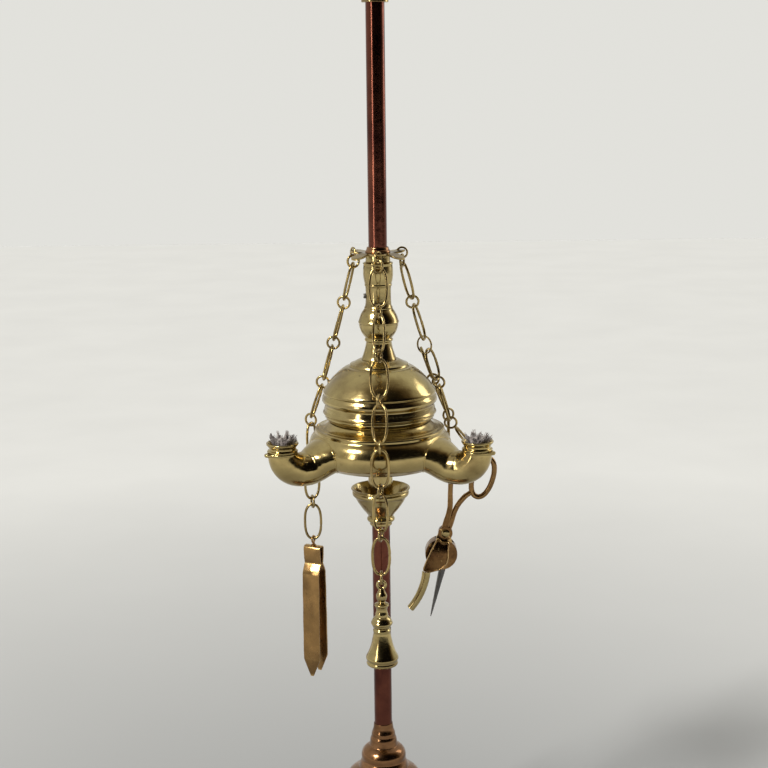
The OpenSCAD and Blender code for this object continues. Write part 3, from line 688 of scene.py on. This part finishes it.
def wick(name):
    """A bundle of cotton strands, frayed into pointed clumps above the rim of its cup."""
    chance = random.Random("wick " + name)
    rim = mouth_z + 5.6
    top = high("wick_" + name).z - rim
    core = faired([
        (0, mouth_z - 9), (3.2, mouth_z - 9), (4.4, mouth_z - 6), (4.7, rim - 3), (5.4, rim - 0.4),
        (5, rim + 1.2), (2.6, rim + 2.4), (0, rim + 2.8)], closed=False)
    lumps = [(chance.uniform(0.15, 0.35), n, chance.uniform(0, 6.28)) for n in (5, 8, 13)]
    shapes = [lathe(
        core, 60,
        lambda r, z, a: r * (1 + 0.14 * sum(d * math.sin(n * a + 0.4 * z + p) for d, n, p in lumps)))]
    clumps = []
    for c in range(14):
        a = 2.4 * c
        spread = 1.4 + 7.2 * math.sqrt((c + 0.6) / 14)
        height = top * chance.uniform(0.45, 1.0) * (1.08 - 0.055 * spread)
        clumps.append(Vector((spread * math.cos(a), spread * math.sin(a), height)))
    for clump in clumps:
        for _ in range(15):
            base = Vector((chance.gauss(0, 1.5), chance.gauss(0, 1.5), -3)) + clump * 0.5
            base.z = -3
            if base.xy.length > 4.6:
                base.xy *= 4.6 / base.xy.length
            tip = clump + Vector((chance.gauss(0, 0.42), chance.gauss(0, 0.42), chance.uniform(-3.4, 0.2)))
            bend = Vector((chance.gauss(0, 0.5), chance.gauss(0, 0.5), 0))
            path = []
            for i in range(8):
                t = i / 7
                p = base.lerp(tip, t)
                p.xy = base.xy.lerp(tip.xy, t ** 1.5)
                path.append(p + bend * math.sin(math.pi * t) + Vector((0, 0, rim)))
            thick = chance.uniform(0.2, 0.36)
            shapes.append(tube(path, [thick * (1 - 0.6 * (i / 7) ** 2) for i in range(8)], 6))
    centre = middle("wick_" + name)
    piece("wick_" + name, moved(joined(*shapes), at(centre.x, centre.y)), "cotton", sharp=80)


# ---- Lid, neck and crown ----

def lid():
    z = lid_z
    outline = faired([
        (25.4, z - 6), (26.9, z - 6), (26.9, z + 0.3), (30.2, z + 0.3), (30.7, z + 1.2), (31.2, z + 1.7),
        (32.2, z + 2.2), (32.9, z + 3.3), (32.8, z + 4.1), (32.5, z + 4.5), (33.5, z + 4.9),
        (34.1, z + 5.6), (33.9, z + 6.4), (33.3, z + 7.2), (33.1, z + 9), (32.7, z + 10.3),
        (32.8, z + 11.1), (33.6, z + 11.7), (34.4, z + 12.6), (34.6, z + 13.8), (34.2, z + 15.3),
        (33.3, z + 16.6), (33.2, z + 17.2), (33.9, z + 17.8), (33.8, z + 18.8), (33, z + 20),
        (31.6, z + 22), (30, z + 24.2), (28.2, z + 26.2), (25.4, z + 29.1), (22.6, z + 31.4),
        (20.6, z + 32.7), (19.6, z + 33.1), (18.2, z + 33.4), (17.7, z + 33.9), (17.4, z + 34.8),
        (15.4, z + 35.6), (12.4, z + 37.2), (11.7, neck_z), (7.6, neck_z), (7.6, neck_z - 1.8),
        (11, z + 35.4), (17, z + 32.2), (22, z + 29.4), (26.4, z + 24.8), (29.6, z + 20), (31.2, z + 15),
        (30.8, z + 9), (30.6, z + 5), (28, z + 3), (25.4, z + 2)], crisp=0.2)
    piece("lid_dome", lathe(outline, 192), "turned_brass")


def neck():
    z = neck_z
    inner = slide_r
    outline = faired(
        [(inner, z - 3), (7.55, z - 3), (7.55, z), (10.5, z), (10.5, z + 0.5), (9.9, z + 1.6), (9, z + 4.2),
         (8.2, z + 7), (7.7, z + 9.6), (7.7, z + 10.6), (8.4, z + 11.2), (8.5, z + 12.2), (7.9, z + 12.9),
         (8.9, z + 14.2), (10.2, z + 16), (11.1, z + 18), (11.6, z + 20), (11.8, z + 21.6),
         (12.15, z + 22.2), (12.15, z + 22.8), (11.8, z + 23.3), (11.5, z + 24.6), (11, z + 26),
         (10.1, z + 28), (9, z + 29.6), (8.4, z + 30.4), (8.5, z + 31.3), (7.9, z + 32), (7.6, z + 34),
         (7.5, z + 38), (7.5, z + 43.4), (8.1, z + 44), (8.1, z + 44.9), (7.9, z + 45.4), (8.5, z + 47.6),
         (8.9, z + 50.6), (8.8, z + 54), (8.5, z + 56.6), (8.9, z + 57.2), (8.8, z + 57.8),
         (7.3, z + 58.4), (7.2, crown_z), (6.2, crown_z), (6.2, crown_z - 3), (inner, crown_z - 3)],
        crisp=0.2)
    hole = rod_of(1.55, (-4, 0, z + 37.9), (-12, 0, z + 37.9), 32)
    piece("neck_baluster", lathe(outline), "turned_brass", cutters=[hole])


def set_screw():
    """Slotted screw that holds the neck on the rod."""
    start, end = low("set_screw"), high("set_screw")
    length = end.x - start.x
    side = [(0, 0), (1.5, 0), (1.5, length - 0.5), (1.3, length), (0, length)]
    body = lathe(faired(side, crisp=0.12, closed=False), 48)
    slot_cut = joined(*[
        tube([(0, -2, length + 0.6 - s), (0, 2, length + 0.6 - s)], 0.3, 8, round_ends=False)
        for s in (0, 0.3, 0.6)])
    place = at(end.x, 0, middle("set_screw").z) @ about_y(-90)
    piece("set_screw", moved(body, place), "steel", cutters=[moved(slot_cut, place)])


def crown():
    """Six-petalled plate: three petals bent up a little and pierced for the jump rings, three bent down."""
    hinge, petal_r, petal_out = 9, 4.8, 13.1
    base_r = 9.6
    pierced = [(a, -5) for a in chain_angles.values()]
    plain = [(a + 60, 17) for a in chain_angles.values()]
    petals = pierced + plain
    sides, rings = 288, 28
    uneven = random.Random("crown")
    curl = {a: uneven.uniform(-0.9, 0.9) for a, _ in petals}
    layers = []
    for level in (1.2, 0):
        layer = []
        for i in range(rings):
            share = i / (rings - 1)
            ring = []
            for k in range(sides):
                a = 360 * k / sides
                angle, tilt = min(petals, key=lambda p: abs((a - p[0] + 180) % 360 - 180))
                off = math.radians((a - angle + 180) % 360 - 180)
                side = petal_out * math.sin(off)
                reach = petal_out * math.cos(off) + math.sqrt(max(petal_r ** 2 - side ** 2, 0)) \
                    if abs(side) < petal_r else 0
                edge = max(base_r, reach)
                r = 6.2 + (edge - 6.2) * share
                along = max(r * math.cos(off) - hinge, 0)
                bend = math.radians(tilt) * min(along / 1.6, 1)
                x = min(r * math.cos(off), hinge) + along * math.cos(bend)
                y = r * math.sin(off)
                drop = along * math.sin(bend) + curl[angle] * (along / 9) ** 2 * (y / 5)
                thin = 0.25 * max(0, share - 0.93) / 0.07
                z = crown_z + level - drop + (thin if level == 0 else -thin)
                turn = about_z(angle)
                ring.append(turn @ Vector((x, y, z)))
            layer.append(ring)
        layers.append(layer)
    shape = loft(layers[0] + layers[1][::-1], closed=True)
    chain_top, jump_turn, jump_r, hole_r = 16.6, -35, 3.1, 1.45
    holes = []
    for angle in chain_angles.values():
        place = about_z(angle) @ at(chain_top, 0, crown_z) @ about_z(jump_turn) @ at(-jump_r, 0)
        holes.append(moved(rod_of(hole_r, (0, 0, -3), (0, 0, 4)), place))
    piece("crown_plate", shape, "chain_brass", cutters=holes)


def ferrule():
    z = crown_z
    outline = faired([
        (slide_r, z - 3), (6.15, z - 3), (6.15, z + 1.25), (7.4, z + 1.25), (7.5, z + 1.9), (7.2, z + 2.6),
        (6.7, z + 3), (6.6, z + 3.8), (6.4, z + 4.4), (6.1, z + 4.6), (slide_r, z + 4.6)], crisp=0.2)
    piece("crown_ferrule", lathe(outline, 96), "copper_foot")


# ---- Chains ----

def solids_of(node):
    """The separate solids of a CAD node, each as a list of its points in millimetres."""
    work = bmesh.new()
    work.from_mesh(frame["nodes"][node].data)
    bmesh.ops.remove_doubles(work, verts=work.verts, dist=1e-7)
    work.verts.index_update()
    reached = [False] * len(work.verts)
    found = []
    for first in work.verts:
        if reached[first.index]:
            continue
        reached[first.index] = True
        border = [first]
        part = []
        while border:
            v = border.pop()
            part.append(v.co / MM)
            for e in v.link_edges:
                other = e.other_vert(v)
                if not reached[other.index]:
                    reached[other.index] = True
                    border.append(other)
        part.sort(key=lambda p: (round(p.z, 4), round(p.y, 4), round(p.x, 4)))
        found.append(part)
    work.free()
    return sorted(found, key=lambda part: -max(p.z for p in part))


def own_frame(points):
    """Centre, axes from the longest to the shortest, and the size along each."""
    import numpy as np
    cloud = np.array(points)
    centre = (cloud.max(0) + cloud.min(0)) / 2
    _, _, axes = np.linalg.svd(cloud - cloud.mean(0), full_matrices=False)
    axes = np.array([a * np.sign(a[np.abs(a).argmax()]) for a in axes])
    along = (cloud - centre) @ axes.T
    sizes = along.max(0) - along.min(0)
    centre = centre + (along.max(0) + along.min(0)) / 2 @ axes
    return Vector(centre), [Vector(a) for a in axes], list(sizes)


def wire_link(points, chance):
    """One bent link: a long oval or a round ring, with the butt joint where its wire was closed."""
    centre, (long_axis, wide_axis, thin_axis), (length, width, wire) = own_frame(points)
    half_length, half_width = (length - wire) / 2, (width - wire) / 2
    is_long = length > 1.3 * width
    count = 96 if is_long else 72
    path = oval_path(half_length, half_width, 2.5 if is_long else 2.0, count)
    joint = chance.choice([0, count // 2]) + chance.randint(-3, 3)
    radii = []
    for i in range(count):
        near = min((i - joint) % count, (joint - i) % count)
        radii.append(wire / 2 * (0.80 if near == 0 else 1.0 + 0.02 * math.sin(i * 0.7 + joint)))
    bow = chance.uniform(-0.18, 0.18) if is_long else chance.uniform(-0.06, 0.06)
    place = Matrix((wide_axis, thin_axis, long_axis)).transposed()
    bent = []
    for x, _, z in path:
        sway = bow * (z / max(half_length, 1)) * (x / max(half_width, 1))
        bent.append(place @ Vector((x, sway, z)) + centre)
    return tube(bent, radii, 16, normal=thin_axis, closed=True)


def chain(node):
    chance = random.Random(node)
    piece(node, joined(*[wire_link(points, chance) for points in solids_of(node)]), "chain_brass")


def split_ring():
    """Two turns of wire side by side, as on a key ring."""
    centre, axes, (length, _, depth) = own_frame([p for part in solids_of("split_ring") for p in part])
    wire = depth / 2
    r = length / 2 - wire / 2
    place = Matrix((axes[0], axes[2], axes[1])).transposed()
    steps = 150
    path = []
    for i in range(steps + 1):
        a = 2 * math.pi * 1.93 * i / steps
        rise = (i / steps - 0.5) * wire * 1.06
        path.append(place @ Vector((r * math.cos(a), rise, r * math.sin(a))) + centre)
    piece("split_ring", tube(path, wire * 0.48, 14), "chain_brass")


# ---- Snuffer ----

def snuffer():
    centre = middle("snuffer_bell")
    z = low("snuffer_bell").z + 42
    eye = high("snuffer_bell").z
    outline = faired(
        [(0, z + 4.6), (1.5, z + 4.6), (2, z + 3.2), (2.7, z + 2), (3.3, z + 0.6), (3.1, z - 1.4),
         (2.1, z - 2.8), (2.1, z - 3.5), (3, z - 4), (4.2, z - 4.7), (4.3, z - 5.6), (3.6, z - 6.4),
         (3.2, z - 7.4), (3.2, z - 9), (3.8, z - 10.8)]
        + arc((1.6, z - 16), 4.4, 60, 12, 4)
        + [(6.3, z - 15.6), (6.4, z - 16.4), (6, z - 17)]
        + arc((1.6, z - 16), 4.4, -18, -50, 3)
        + [(4.5, z - 19.8), (5.2, z - 20.4), (5.2, z - 21.2), (4.9, z - 22), (5.4, z - 24.6),
           (6.2, z - 28.4), (7.2, z - 32), (8.4, z - 34.8), (9.5, z - 36.8), (9.6, z - 38), (9, z - 38.9),
           (8.9, z - 39.6), (9.3, z - 40.4), (9.2, z - 41.4), (8.5, z - 42), (8, z - 42), (7, z - 35),
           (5, z - 29), (3.8, z - 24), (0, z - 21)], crisp=0.2, closed=False)
    wire = 1.8
    eye_r = 2.3
    loop = moved(tube(ring_path(eye_r), wire / 2, 20, normal=(0, 1, 0), closed=True),
                 at(0, 0, eye - eye_r - wire / 2))
    piece("snuffer_bell", moved(joined(lathe(outline, 112), loop), at(centre.x, centre.y)), "turned_brass")


# ---- Tweezers ----

tweezers_turn = -25
strip_half = 5.7
strip_t = 1.0
head_top = high("tweezers_head").z
waist_z = high("tweezers_leaf_front").z
leaf_tip_z = low("tweezers_leaf_front").z
tweezers_at = at(middle("tweezers_eye").x, middle("tweezers_eye").y) @ about_z(tweezers_turn)


def tweezers():
    head_out = 2.4
    half = faired(
        [(1.4, waist_z + 0.1), (1.5, waist_z + 1.4), (head_out - 0.35, head_top - 8),
         (head_out, head_top - 3), (head_out, head_top - 1.4), (head_out - 1.1, head_top - 0.5),
         (0, head_top - 0.5)], closed=False, crisp=1)
    path = [tuple(p) for p in half]
    path += [(-y, z) for y, z in path[::-1][1:]]
    hole = rod_of(1, (0, 0, head_top - 4), (0, 0, head_top + 3), 32)
    piece("tweezers_head", moved(band(path, [strip_half] * len(path), strip_t), tweezers_at), "bronze",
          cutters=[moved(hole, tweezers_at)])
    leaf_out, tip_out = 4.7, 5.3
    taper_z = leaf_tip_z + 11
    leaf = [tuple(p) for p in faired(
        [(1.4, waist_z), (2.2, waist_z - 1.4), (leaf_out - 0.3, waist_z - 5.1), (leaf_out, waist_z - 7.4),
         (leaf_out + 0.1, waist_z - 20), (leaf_out + 0.45, waist_z - 40), (tip_out - 0.05, leaf_tip_z + 8),
         (tip_out, leaf_tip_z)], closed=False, crisp=1)]
    leaf = [p for i, p in enumerate(leaf) if i == 0 or abs(p[1] - leaf[i - 1][1]) > 0.01]
    fine = []
    for (y1, z1), (y2, z2) in zip(leaf, leaf[1:]):
        steps = max(1, round((z1 - z2) / 0.8))
        fine += [(y1 + (y2 - y1) * s / steps, z1 + (z2 - z1) * s / steps) for s in range(steps)]
    fine.append(leaf[-1])
    widths = [
        strip_half + 0.05 * math.sin(z * 0.35) if z > taper_z
        else 1 + (strip_half - 1) * (z - leaf_tip_z) / 11
        for _, z in fine]
    for node, side in (("tweezers_leaf_front", -1), ("tweezers_leaf_back", 1)):
        path = [(side * y, z) for y, z in fine]
        piece(node, moved(band(path, widths, strip_t), tweezers_at), "bronze")


def tweezers_eye():
    """Swivel: a small ring on a stem that turns in the hole in the head."""
    wire, r = 1.2, 1.9
    top = high("tweezers_eye").z
    bottom = low("tweezers_eye").z
    loop = moved(tube(ring_path(r, 72), wire / 2, 16, normal=(0, 1, 0), closed=True), about_z(90))
    stem = lathe(faired([
        (0, bottom), (1.6, bottom), (1.8, bottom + 0.4), (1.6, bottom + 0.8), (0.9, bottom + 0.9),
        (0.9, head_top + 0.05), (1.6, head_top + 0.05), (1.7, head_top + 0.4), (1.2, head_top + 0.65),
        (0.9, head_top + 0.8), (0.8, top - 2 * r - wire + 0.6), (0, top - 2 * r - wire + 0.7)],
        closed=False, crisp=0.15), 40)
    shape = joined(moved(loop, at(0, 0, top - r - wire / 2)), stem)
    piece("tweezers_eye", moved(shape, tweezers_at), "bronze")


# ---- Wick trimmer ----

trimmer_lean = 17
half_lap = 1.2
trimmer_at = at(*middle("trimmer_rivet")) @ about_y(trimmer_lean)


def turned_on_y(outline, centre, sides=96):
    """A turned piece whose axis lies along Y: its outline is (radius, place along Y)."""
    return moved(lathe(outline, sides), at(*centre) @ Matrix.Rotation(math.radians(-90), 4, "X"))


def eye_disc(y):
    return turned_on_y(faired([(1.65, -1.05), (4.6, -1.05), (4.6, 1.05), (1.65, 1.05)], crisp=0.3),
        (0, y, 0))


def arm_shape(side, y):
    """Finger ring and the curved shank that runs down to the rivet. The left ring is the shorter one."""
    wire, finger_side = 3.4, 12.4
    length, finger_up = (22, 44.75) if side < 0 else (29.5, 41)
    ring = tube(oval_path((length - wire) / 2, 6.3, 2.15), wire / 2, 24, normal=(0, 1, 0), closed=True)
    ring = moved(ring, at(side * finger_side, y, finger_up))
    if side < 0:
        shoulder = [(8.4, 37.6, 1.6, 1.5), (7.3, 35, 1.6, 1.5), (6.2, 32, 1.6, 1.5), (4.6, 26, 1.6, 1.4)]
    else:
        shoulder = [(8.4, 29.9, 1.6, 1.5), (6.6, 27.7, 1.6, 1.5), (5.1, 25.6, 1.7, 1.4)]
    rows = smooth_rows(shoulder + [
        (3.1, 21, 1.7, 1.2), (2, 16.5, 1.7, 1.04),
        (1.6, 12, 1.8, 1.04), (1.5, 8, 2, 1.04), (1.1, 4, 2.3, 1.04), (0.8, 2.4, 2.3, 1.0)], 8)
    rings = []
    for i, (x, z, h, w) in enumerate(rows):
        before, after = rows[max(i - 1, 0)], rows[min(i + 1, len(rows) - 1)]
        along = Vector((side * (after[0] - before[0]), after[1] - before[1])).normalized()
        ring_points = []
        for k in range(24):
            t = 2 * math.pi * k / 24
            ring_points.append((
                side * x - along.y * h * math.cos(t), y + w * math.sin(t), z + along.x * h * math.cos(t)))
        rings.append(ring_points)
    return joined(ring, loft(rings), eye_disc(y))


def leaf_edge():
    """Outline of the cover in the trimmer's plane, from the rivet round to the gouge and back."""
    return [(2.6, 1), (-2.6, 1.6), (-4.5, -4), (-6.3, -12), (-7.2, -21), (-7, -28.2), (-2.2, -27.3),
            *arc((-3.9, -15.6), 10.2, 295, 385, 24)]


def cover_shape():
    """Domed leaf with a thick rim, open round the rivet."""
    cx, cz = -0.6, -14.6
    front = -half_lap - 1.1
    dome_r, rise, eye_r = 22, 6, 4.75
    outline = leaf_edge()

    def edge_at(direction):
        best = 0
        for (x1, z1), (x2, z2) in zip(outline, outline[1:] + outline[:1]):
            ex, ez = x2 - x1, z2 - z1
            det = direction[0] * -ez + direction[1] * ex
            if abs(det) < 1e-9:
                continue
            px, pz = x1 - cx, z1 - cz
            t = (px * -ez + pz * ex) / det
            u = (direction[0] * pz - direction[1] * px) / det
            if t > 0 and -1e-6 <= u <= 1 + 1e-6:
                best = max(best, t)
        middle_dot = -cx * direction[0] - cz * direction[1]
        across = math.hypot(cx, cz) ** 2 - middle_dot ** 2
        if middle_dot > 0 and across < eye_r ** 2:
            best = min(best, middle_dot - math.sqrt(eye_r ** 2 - across))
        return best

    sides, rings = 180, 26
    turns = [2 * math.pi * k / sides for k in range(sides)]
    reach = [edge_at((math.cos(turn), math.sin(turn))) for turn in turns]
    smooth = [sum(reach[(k + j) % sides] for j in range(-3, 4)) / 7 for k in range(sides)]
    smooth = [min(s, r + 0.25) for s, r in zip(smooth, reach)]
    layers = []
    for inner in (0, 1.1):
        layer = []
        for i in range(rings):
            share = i / (rings - 1)
            ring = []
            for k in range(sides):
                a = 2 * math.pi * k / sides
                d = smooth[k] * share
                y = min(front - rise + dome_r - math.sqrt(dome_r ** 2 - d ** 2), front - 0.25)
                rim = 0.6 * math.exp(-((share - 0.93) / 0.05) ** 2) if inner == 0 else 0
                y = y - rim + inner * (0.75 if share > 0.97 else 1)
                ring.append((cx + d * math.cos(a), min(y, front - 0.02), cz + d * math.sin(a)))
            layer.append(ring)
        layers.append(layer)
    return loft(layers[0] + layers[1][::-1], closed=False)


def gouge_shape():
    """Curved half tube for clearing the spouts, open at the back."""
    bend_r, wall = 44.7, 0.8
    rings = []
    for i in range(41):
        t = i / 40
        bend = math.radians(11.6 - 34.6 * t)
        r = 2.7 - 0.25 * t
        section = []
        for k in range(25):
            a = math.radians(-8 + 196 * k / 24)
            section.append((r * math.cos(a), r * math.sin(a)))
        for k in range(25):
            a = math.radians(188 - 196 * k / 24)
            section.append(((r - wall) * math.cos(a), (r - wall) * math.sin(a)))
        rings.append([
            ((bend_r + x) * math.cos(bend), -y, (bend_r + x) * math.sin(bend)) for x, y in section])
    return moved(loft(rings), at(-48.3, -half_lap - 2.2, -36.2))


box_r, box_side, box_down = 10.2, 1.9, 14.8


def arm_plate():
    """Floor of the trimmings box and the web that carries it from the rivet's eye."""
    disc = turned_on_y(faired([(0, -1.05), (box_r, -1.05), (box_r, 1.05), (0, 1.05)], closed=False,
        crisp=0.3),
                       (box_side, half_lap, -box_down))
    edge = [(-3.9, -1), (3.9, -1), (5.6, -4.4), (7.6, -8.4), (-4, -8.4), (-4.4, -4.4)]
    web = loft([[(x * s, half_lap + y, -4.5 + (z + 4.5) * s) for x, z in edge]
                for y, s in ((-1.04, 0.97), (-0.8, 1), (0.8, 1), (1.04, 0.97))])
    return joined(disc, web)


def trimmer():
    piece("trimmer_arm_left", moved(arm_shape(-1, -half_lap), trimmer_at), "bronze")
    piece("trimmer_arm_right", moved(joined(arm_shape(1, half_lap), arm_plate()), trimmer_at), "bronze")
    piece("trimmer_cover", moved(cover_shape(), trimmer_at), "bronze", sharp=60)
    piece("trimmer_gouge", moved(gouge_shape(), trimmer_at), "turned_brass")
    start, depth, skin = half_lap + 1.1, 7, 1
    centre = (box_side, start, -box_down)
    box = turned_on_y(faired([
        (0, 0), (box_r, 0), (box_r, depth), (0, depth)], closed=False, crisp=0.4), centre)
    hollow = turned_on_y([
        (0, skin), (box_r - skin, skin), (box_r - skin, depth - skin), (0, depth - skin)], centre)
    mouth_half, mouth_low = 9.4, -6.8
    corners = [
        (box_side - mouth_half, mouth_low), (box_side + mouth_half, mouth_low),
        (box_side + mouth_half, 0), (box_side - mouth_half, 0)]
    mouth = loft([[(x, y, z) for x, z in corners] for y in (start + skin, start + depth - skin)])
    cutters = [moved(hollow, trimmer_at), moved(mouth, trimmer_at)]
    piece("trimmer_box", moved(box, trimmer_at), "bronze", cutters=cutters)
    taper = [(0, -36), (0.35, -35.6), (1.1, -24), (1.8, -10), (2.25, -2), (2.3, 0), (0, 0)]
    spike = lathe(faired(taper, closed=False), 48)
    round_box = turned_on_y(
        [(0, -2), (box_r + 0.05, -2), (box_r + 0.05, 12), (0, 12)], (box_side, 0, -box_down))
    place = trimmer_at @ at(5.7, half_lap + 4.6, -22.6) @ about_y(-3.8)
    piece("trimmer_spike", moved(spike, place), "steel", cutters=[moved(round_box, trimmer_at)])
    half_span = half_lap + 1.1
    rivet = turned_on_y(faired([
        (0, -half_span - 1), (1.6, -half_span - 0.9), (2.6, -half_span - 0.4), (2.8, -half_span),
        (1.6, -half_span), (1.6, half_span), (2.8, half_span), (2.6, half_span + 0.4),
        (1.6, half_span + 0.9), (0, half_span + 1)],
        closed=False, crisp=0.12), (0, 0, 0), 64)
    piece("trimmer_rivet", moved(rivet, trimmer_at), "turned_brass")


# ---- Studio ----

def camera():
    data = bpy.data.cameras.new("camera")
    data.lens = 69
    data.sensor_width = 36
    data.clip_start = 0.01
    obj = bpy.data.objects.new("camera", data)
    bpy.context.scene.collection.objects.link(obj)
    aim_x, aim_z = 0.0028, 0.340
    obj.location = (aim_x, -0.865, 0.517)
    roll = math.radians(-0.64)
    look = (Vector((aim_x, 0, aim_z)) - obj.location).to_track_quat("-Z", "Y")
    obj.rotation_mode = "QUATERNION"
    obj.rotation_quaternion = look @ Quaternion((0, 0, 1), roll)
    bpy.context.scene.camera = obj


def soft_light(name, place, aim, size, watts, colour):
    data = bpy.data.lights.new(name, "AREA")
    data.shape = "RECTANGLE"
    data.size, data.size_y = size
    data.energy = watts
    data.color = colour
    obj = bpy.data.objects.new(name, data)
    bpy.context.scene.collection.objects.link(obj)
    obj.location = place
    obj.rotation_mode = "QUATERNION"
    obj.rotation_quaternion = (Vector(aim) - Vector(place)).to_track_quat("-Z", "Y")


def studio():
    material, tree = new_material("studio_floor")
    shade = noise(tree, 6, 3, 0.5)
    tone = ramp(tree, shade, [(0.3, (0.79, 0.80, 0.80)), (0.7, (0.82, 0.83, 0.83))])
    coords = add(tree, "ShaderNodeTexCoord").outputs["Object"]
    # Painted shadow: the floor's colour is darkened to grey within about 0.18 m of the lamp's axis and fades
    # back to the pale floor by 1.1 m, a shade pool painted round the foot.
    reach = add(tree, "ShaderNodeVectorMath", {0: coords}, operation="LENGTH").outputs["Value"]
    near = ranged(tree, reach, 0.18, 1.1, 0, 1)
    tone = mixed(tree, near, (0.40, 0.41, 0.42), tone)
    shader = tree.nodes["Principled BSDF"]
    tree.links.new(tone, shader.inputs["Base Color"])
    shader.inputs["Roughness"].default_value = 1
    shader.inputs["Specular IOR Level"].default_value = 0
    span = 4000
    floor_z = cad_low.z / MM
    floor = bpy.data.objects.new("studio_floor", as_mesh("studio_floor", (
        [(-span, -span, floor_z), (span, -span, floor_z), (span, span, floor_z), (-span, span, floor_z)],
         [(0, 1, 2, 3)])))
    bpy.context.scene.collection.objects.link(floor)
    floor.data.materials.append(material)

    data = bpy.data.lights.new("window", "SUN")
    data.energy = 2.75
    data.angle = math.radians(14)
    data.color = (1, 0.975, 0.92)
    window = bpy.data.objects.new("window", data)
    bpy.context.scene.collection.objects.link(window)
    window.rotation_mode = "QUATERNION"
    window.rotation_quaternion = Vector((0.77, 0.64, -0.85)).to_track_quat("-Z", "Y")
    heart = (0, 0, 0.32)
    soft_light("strip", (-0.75, -0.75, 0.50), heart, (0.10, 0.45), 1.6, (1, 0.96, 0.88))
    soft_light("rim", (0.75, 0.35, 0.65), heart, (0.25, 0.5), 1.2, (1, 0.95, 0.88))

    world = bpy.data.worlds.new("studio")
    world.use_nodes = True
    bpy.context.scene.world = world
    tree = world.node_tree
    direction = add(tree, "ShaderNodeTexCoord").outputs["Generated"]
    facing = add(tree, "ShaderNodeVectorMath", {0: direction, 1: (0.30, -0.94, 0.12)},
        operation="DOT_PRODUCT")
    room = ramp(tree, facing.outputs["Value"], [
        (0.0, (0.62, 0.62, 0.59)), (0.22, (0.40, 0.37, 0.31)), (0.40, (0.12, 0.085, 0.045)),
        (0.62, (0.006, 0.005, 0.005))])
    backdrop = add(tree, "ShaderNodeBackground", {"Color": (0.76, 0.755, 0.715, 1), "Strength": 1.0})
    surroundings = add(tree, "ShaderNodeBackground", {"Color": room, "Strength": 1.0})
    seen = add(tree, "ShaderNodeLightPath").outputs["Is Camera Ray"]
    both = add(tree, "ShaderNodeMixShader", {0: seen, 1: surroundings.outputs[0], 2: backdrop.outputs[0]})
    tree.links.new(both.outputs[0], tree.nodes["World Output"].inputs["Surface"])
    bpy.context.scene.view_settings.view_transform = "Standard"


# ---- Build ----

camera()
foot()
pedestal()
rod()
finial()
ring_handle()
drip_cup()
reservoir()
for spout_name in spout_angles:
    spout(spout_name)
    wick_cup(spout_name)
    wick(spout_name)
lid()
neck()
set_screw()
crown()
ferrule()
for chain_node in ("crown_rings", "front_chain_upper", "front_chain_lower", "left_chain_upper",
    "left_chain_lower",
                   "right_chain_upper", "right_chain_lower", "trimmer_tail_chain"):
    chain(chain_node)
split_ring()
snuffer()
tweezers()
tweezers_eye()
trimmer()
for cad_node, cad_slot in (("foot_weight", "iron"), ("base_washer", "steel"), ("base_nut", "steel"),
                           ("felt_pad", "felt"), ("font_tube", "cast_brass")):
    keep_cad_node(cad_node, cad_slot)
studio()
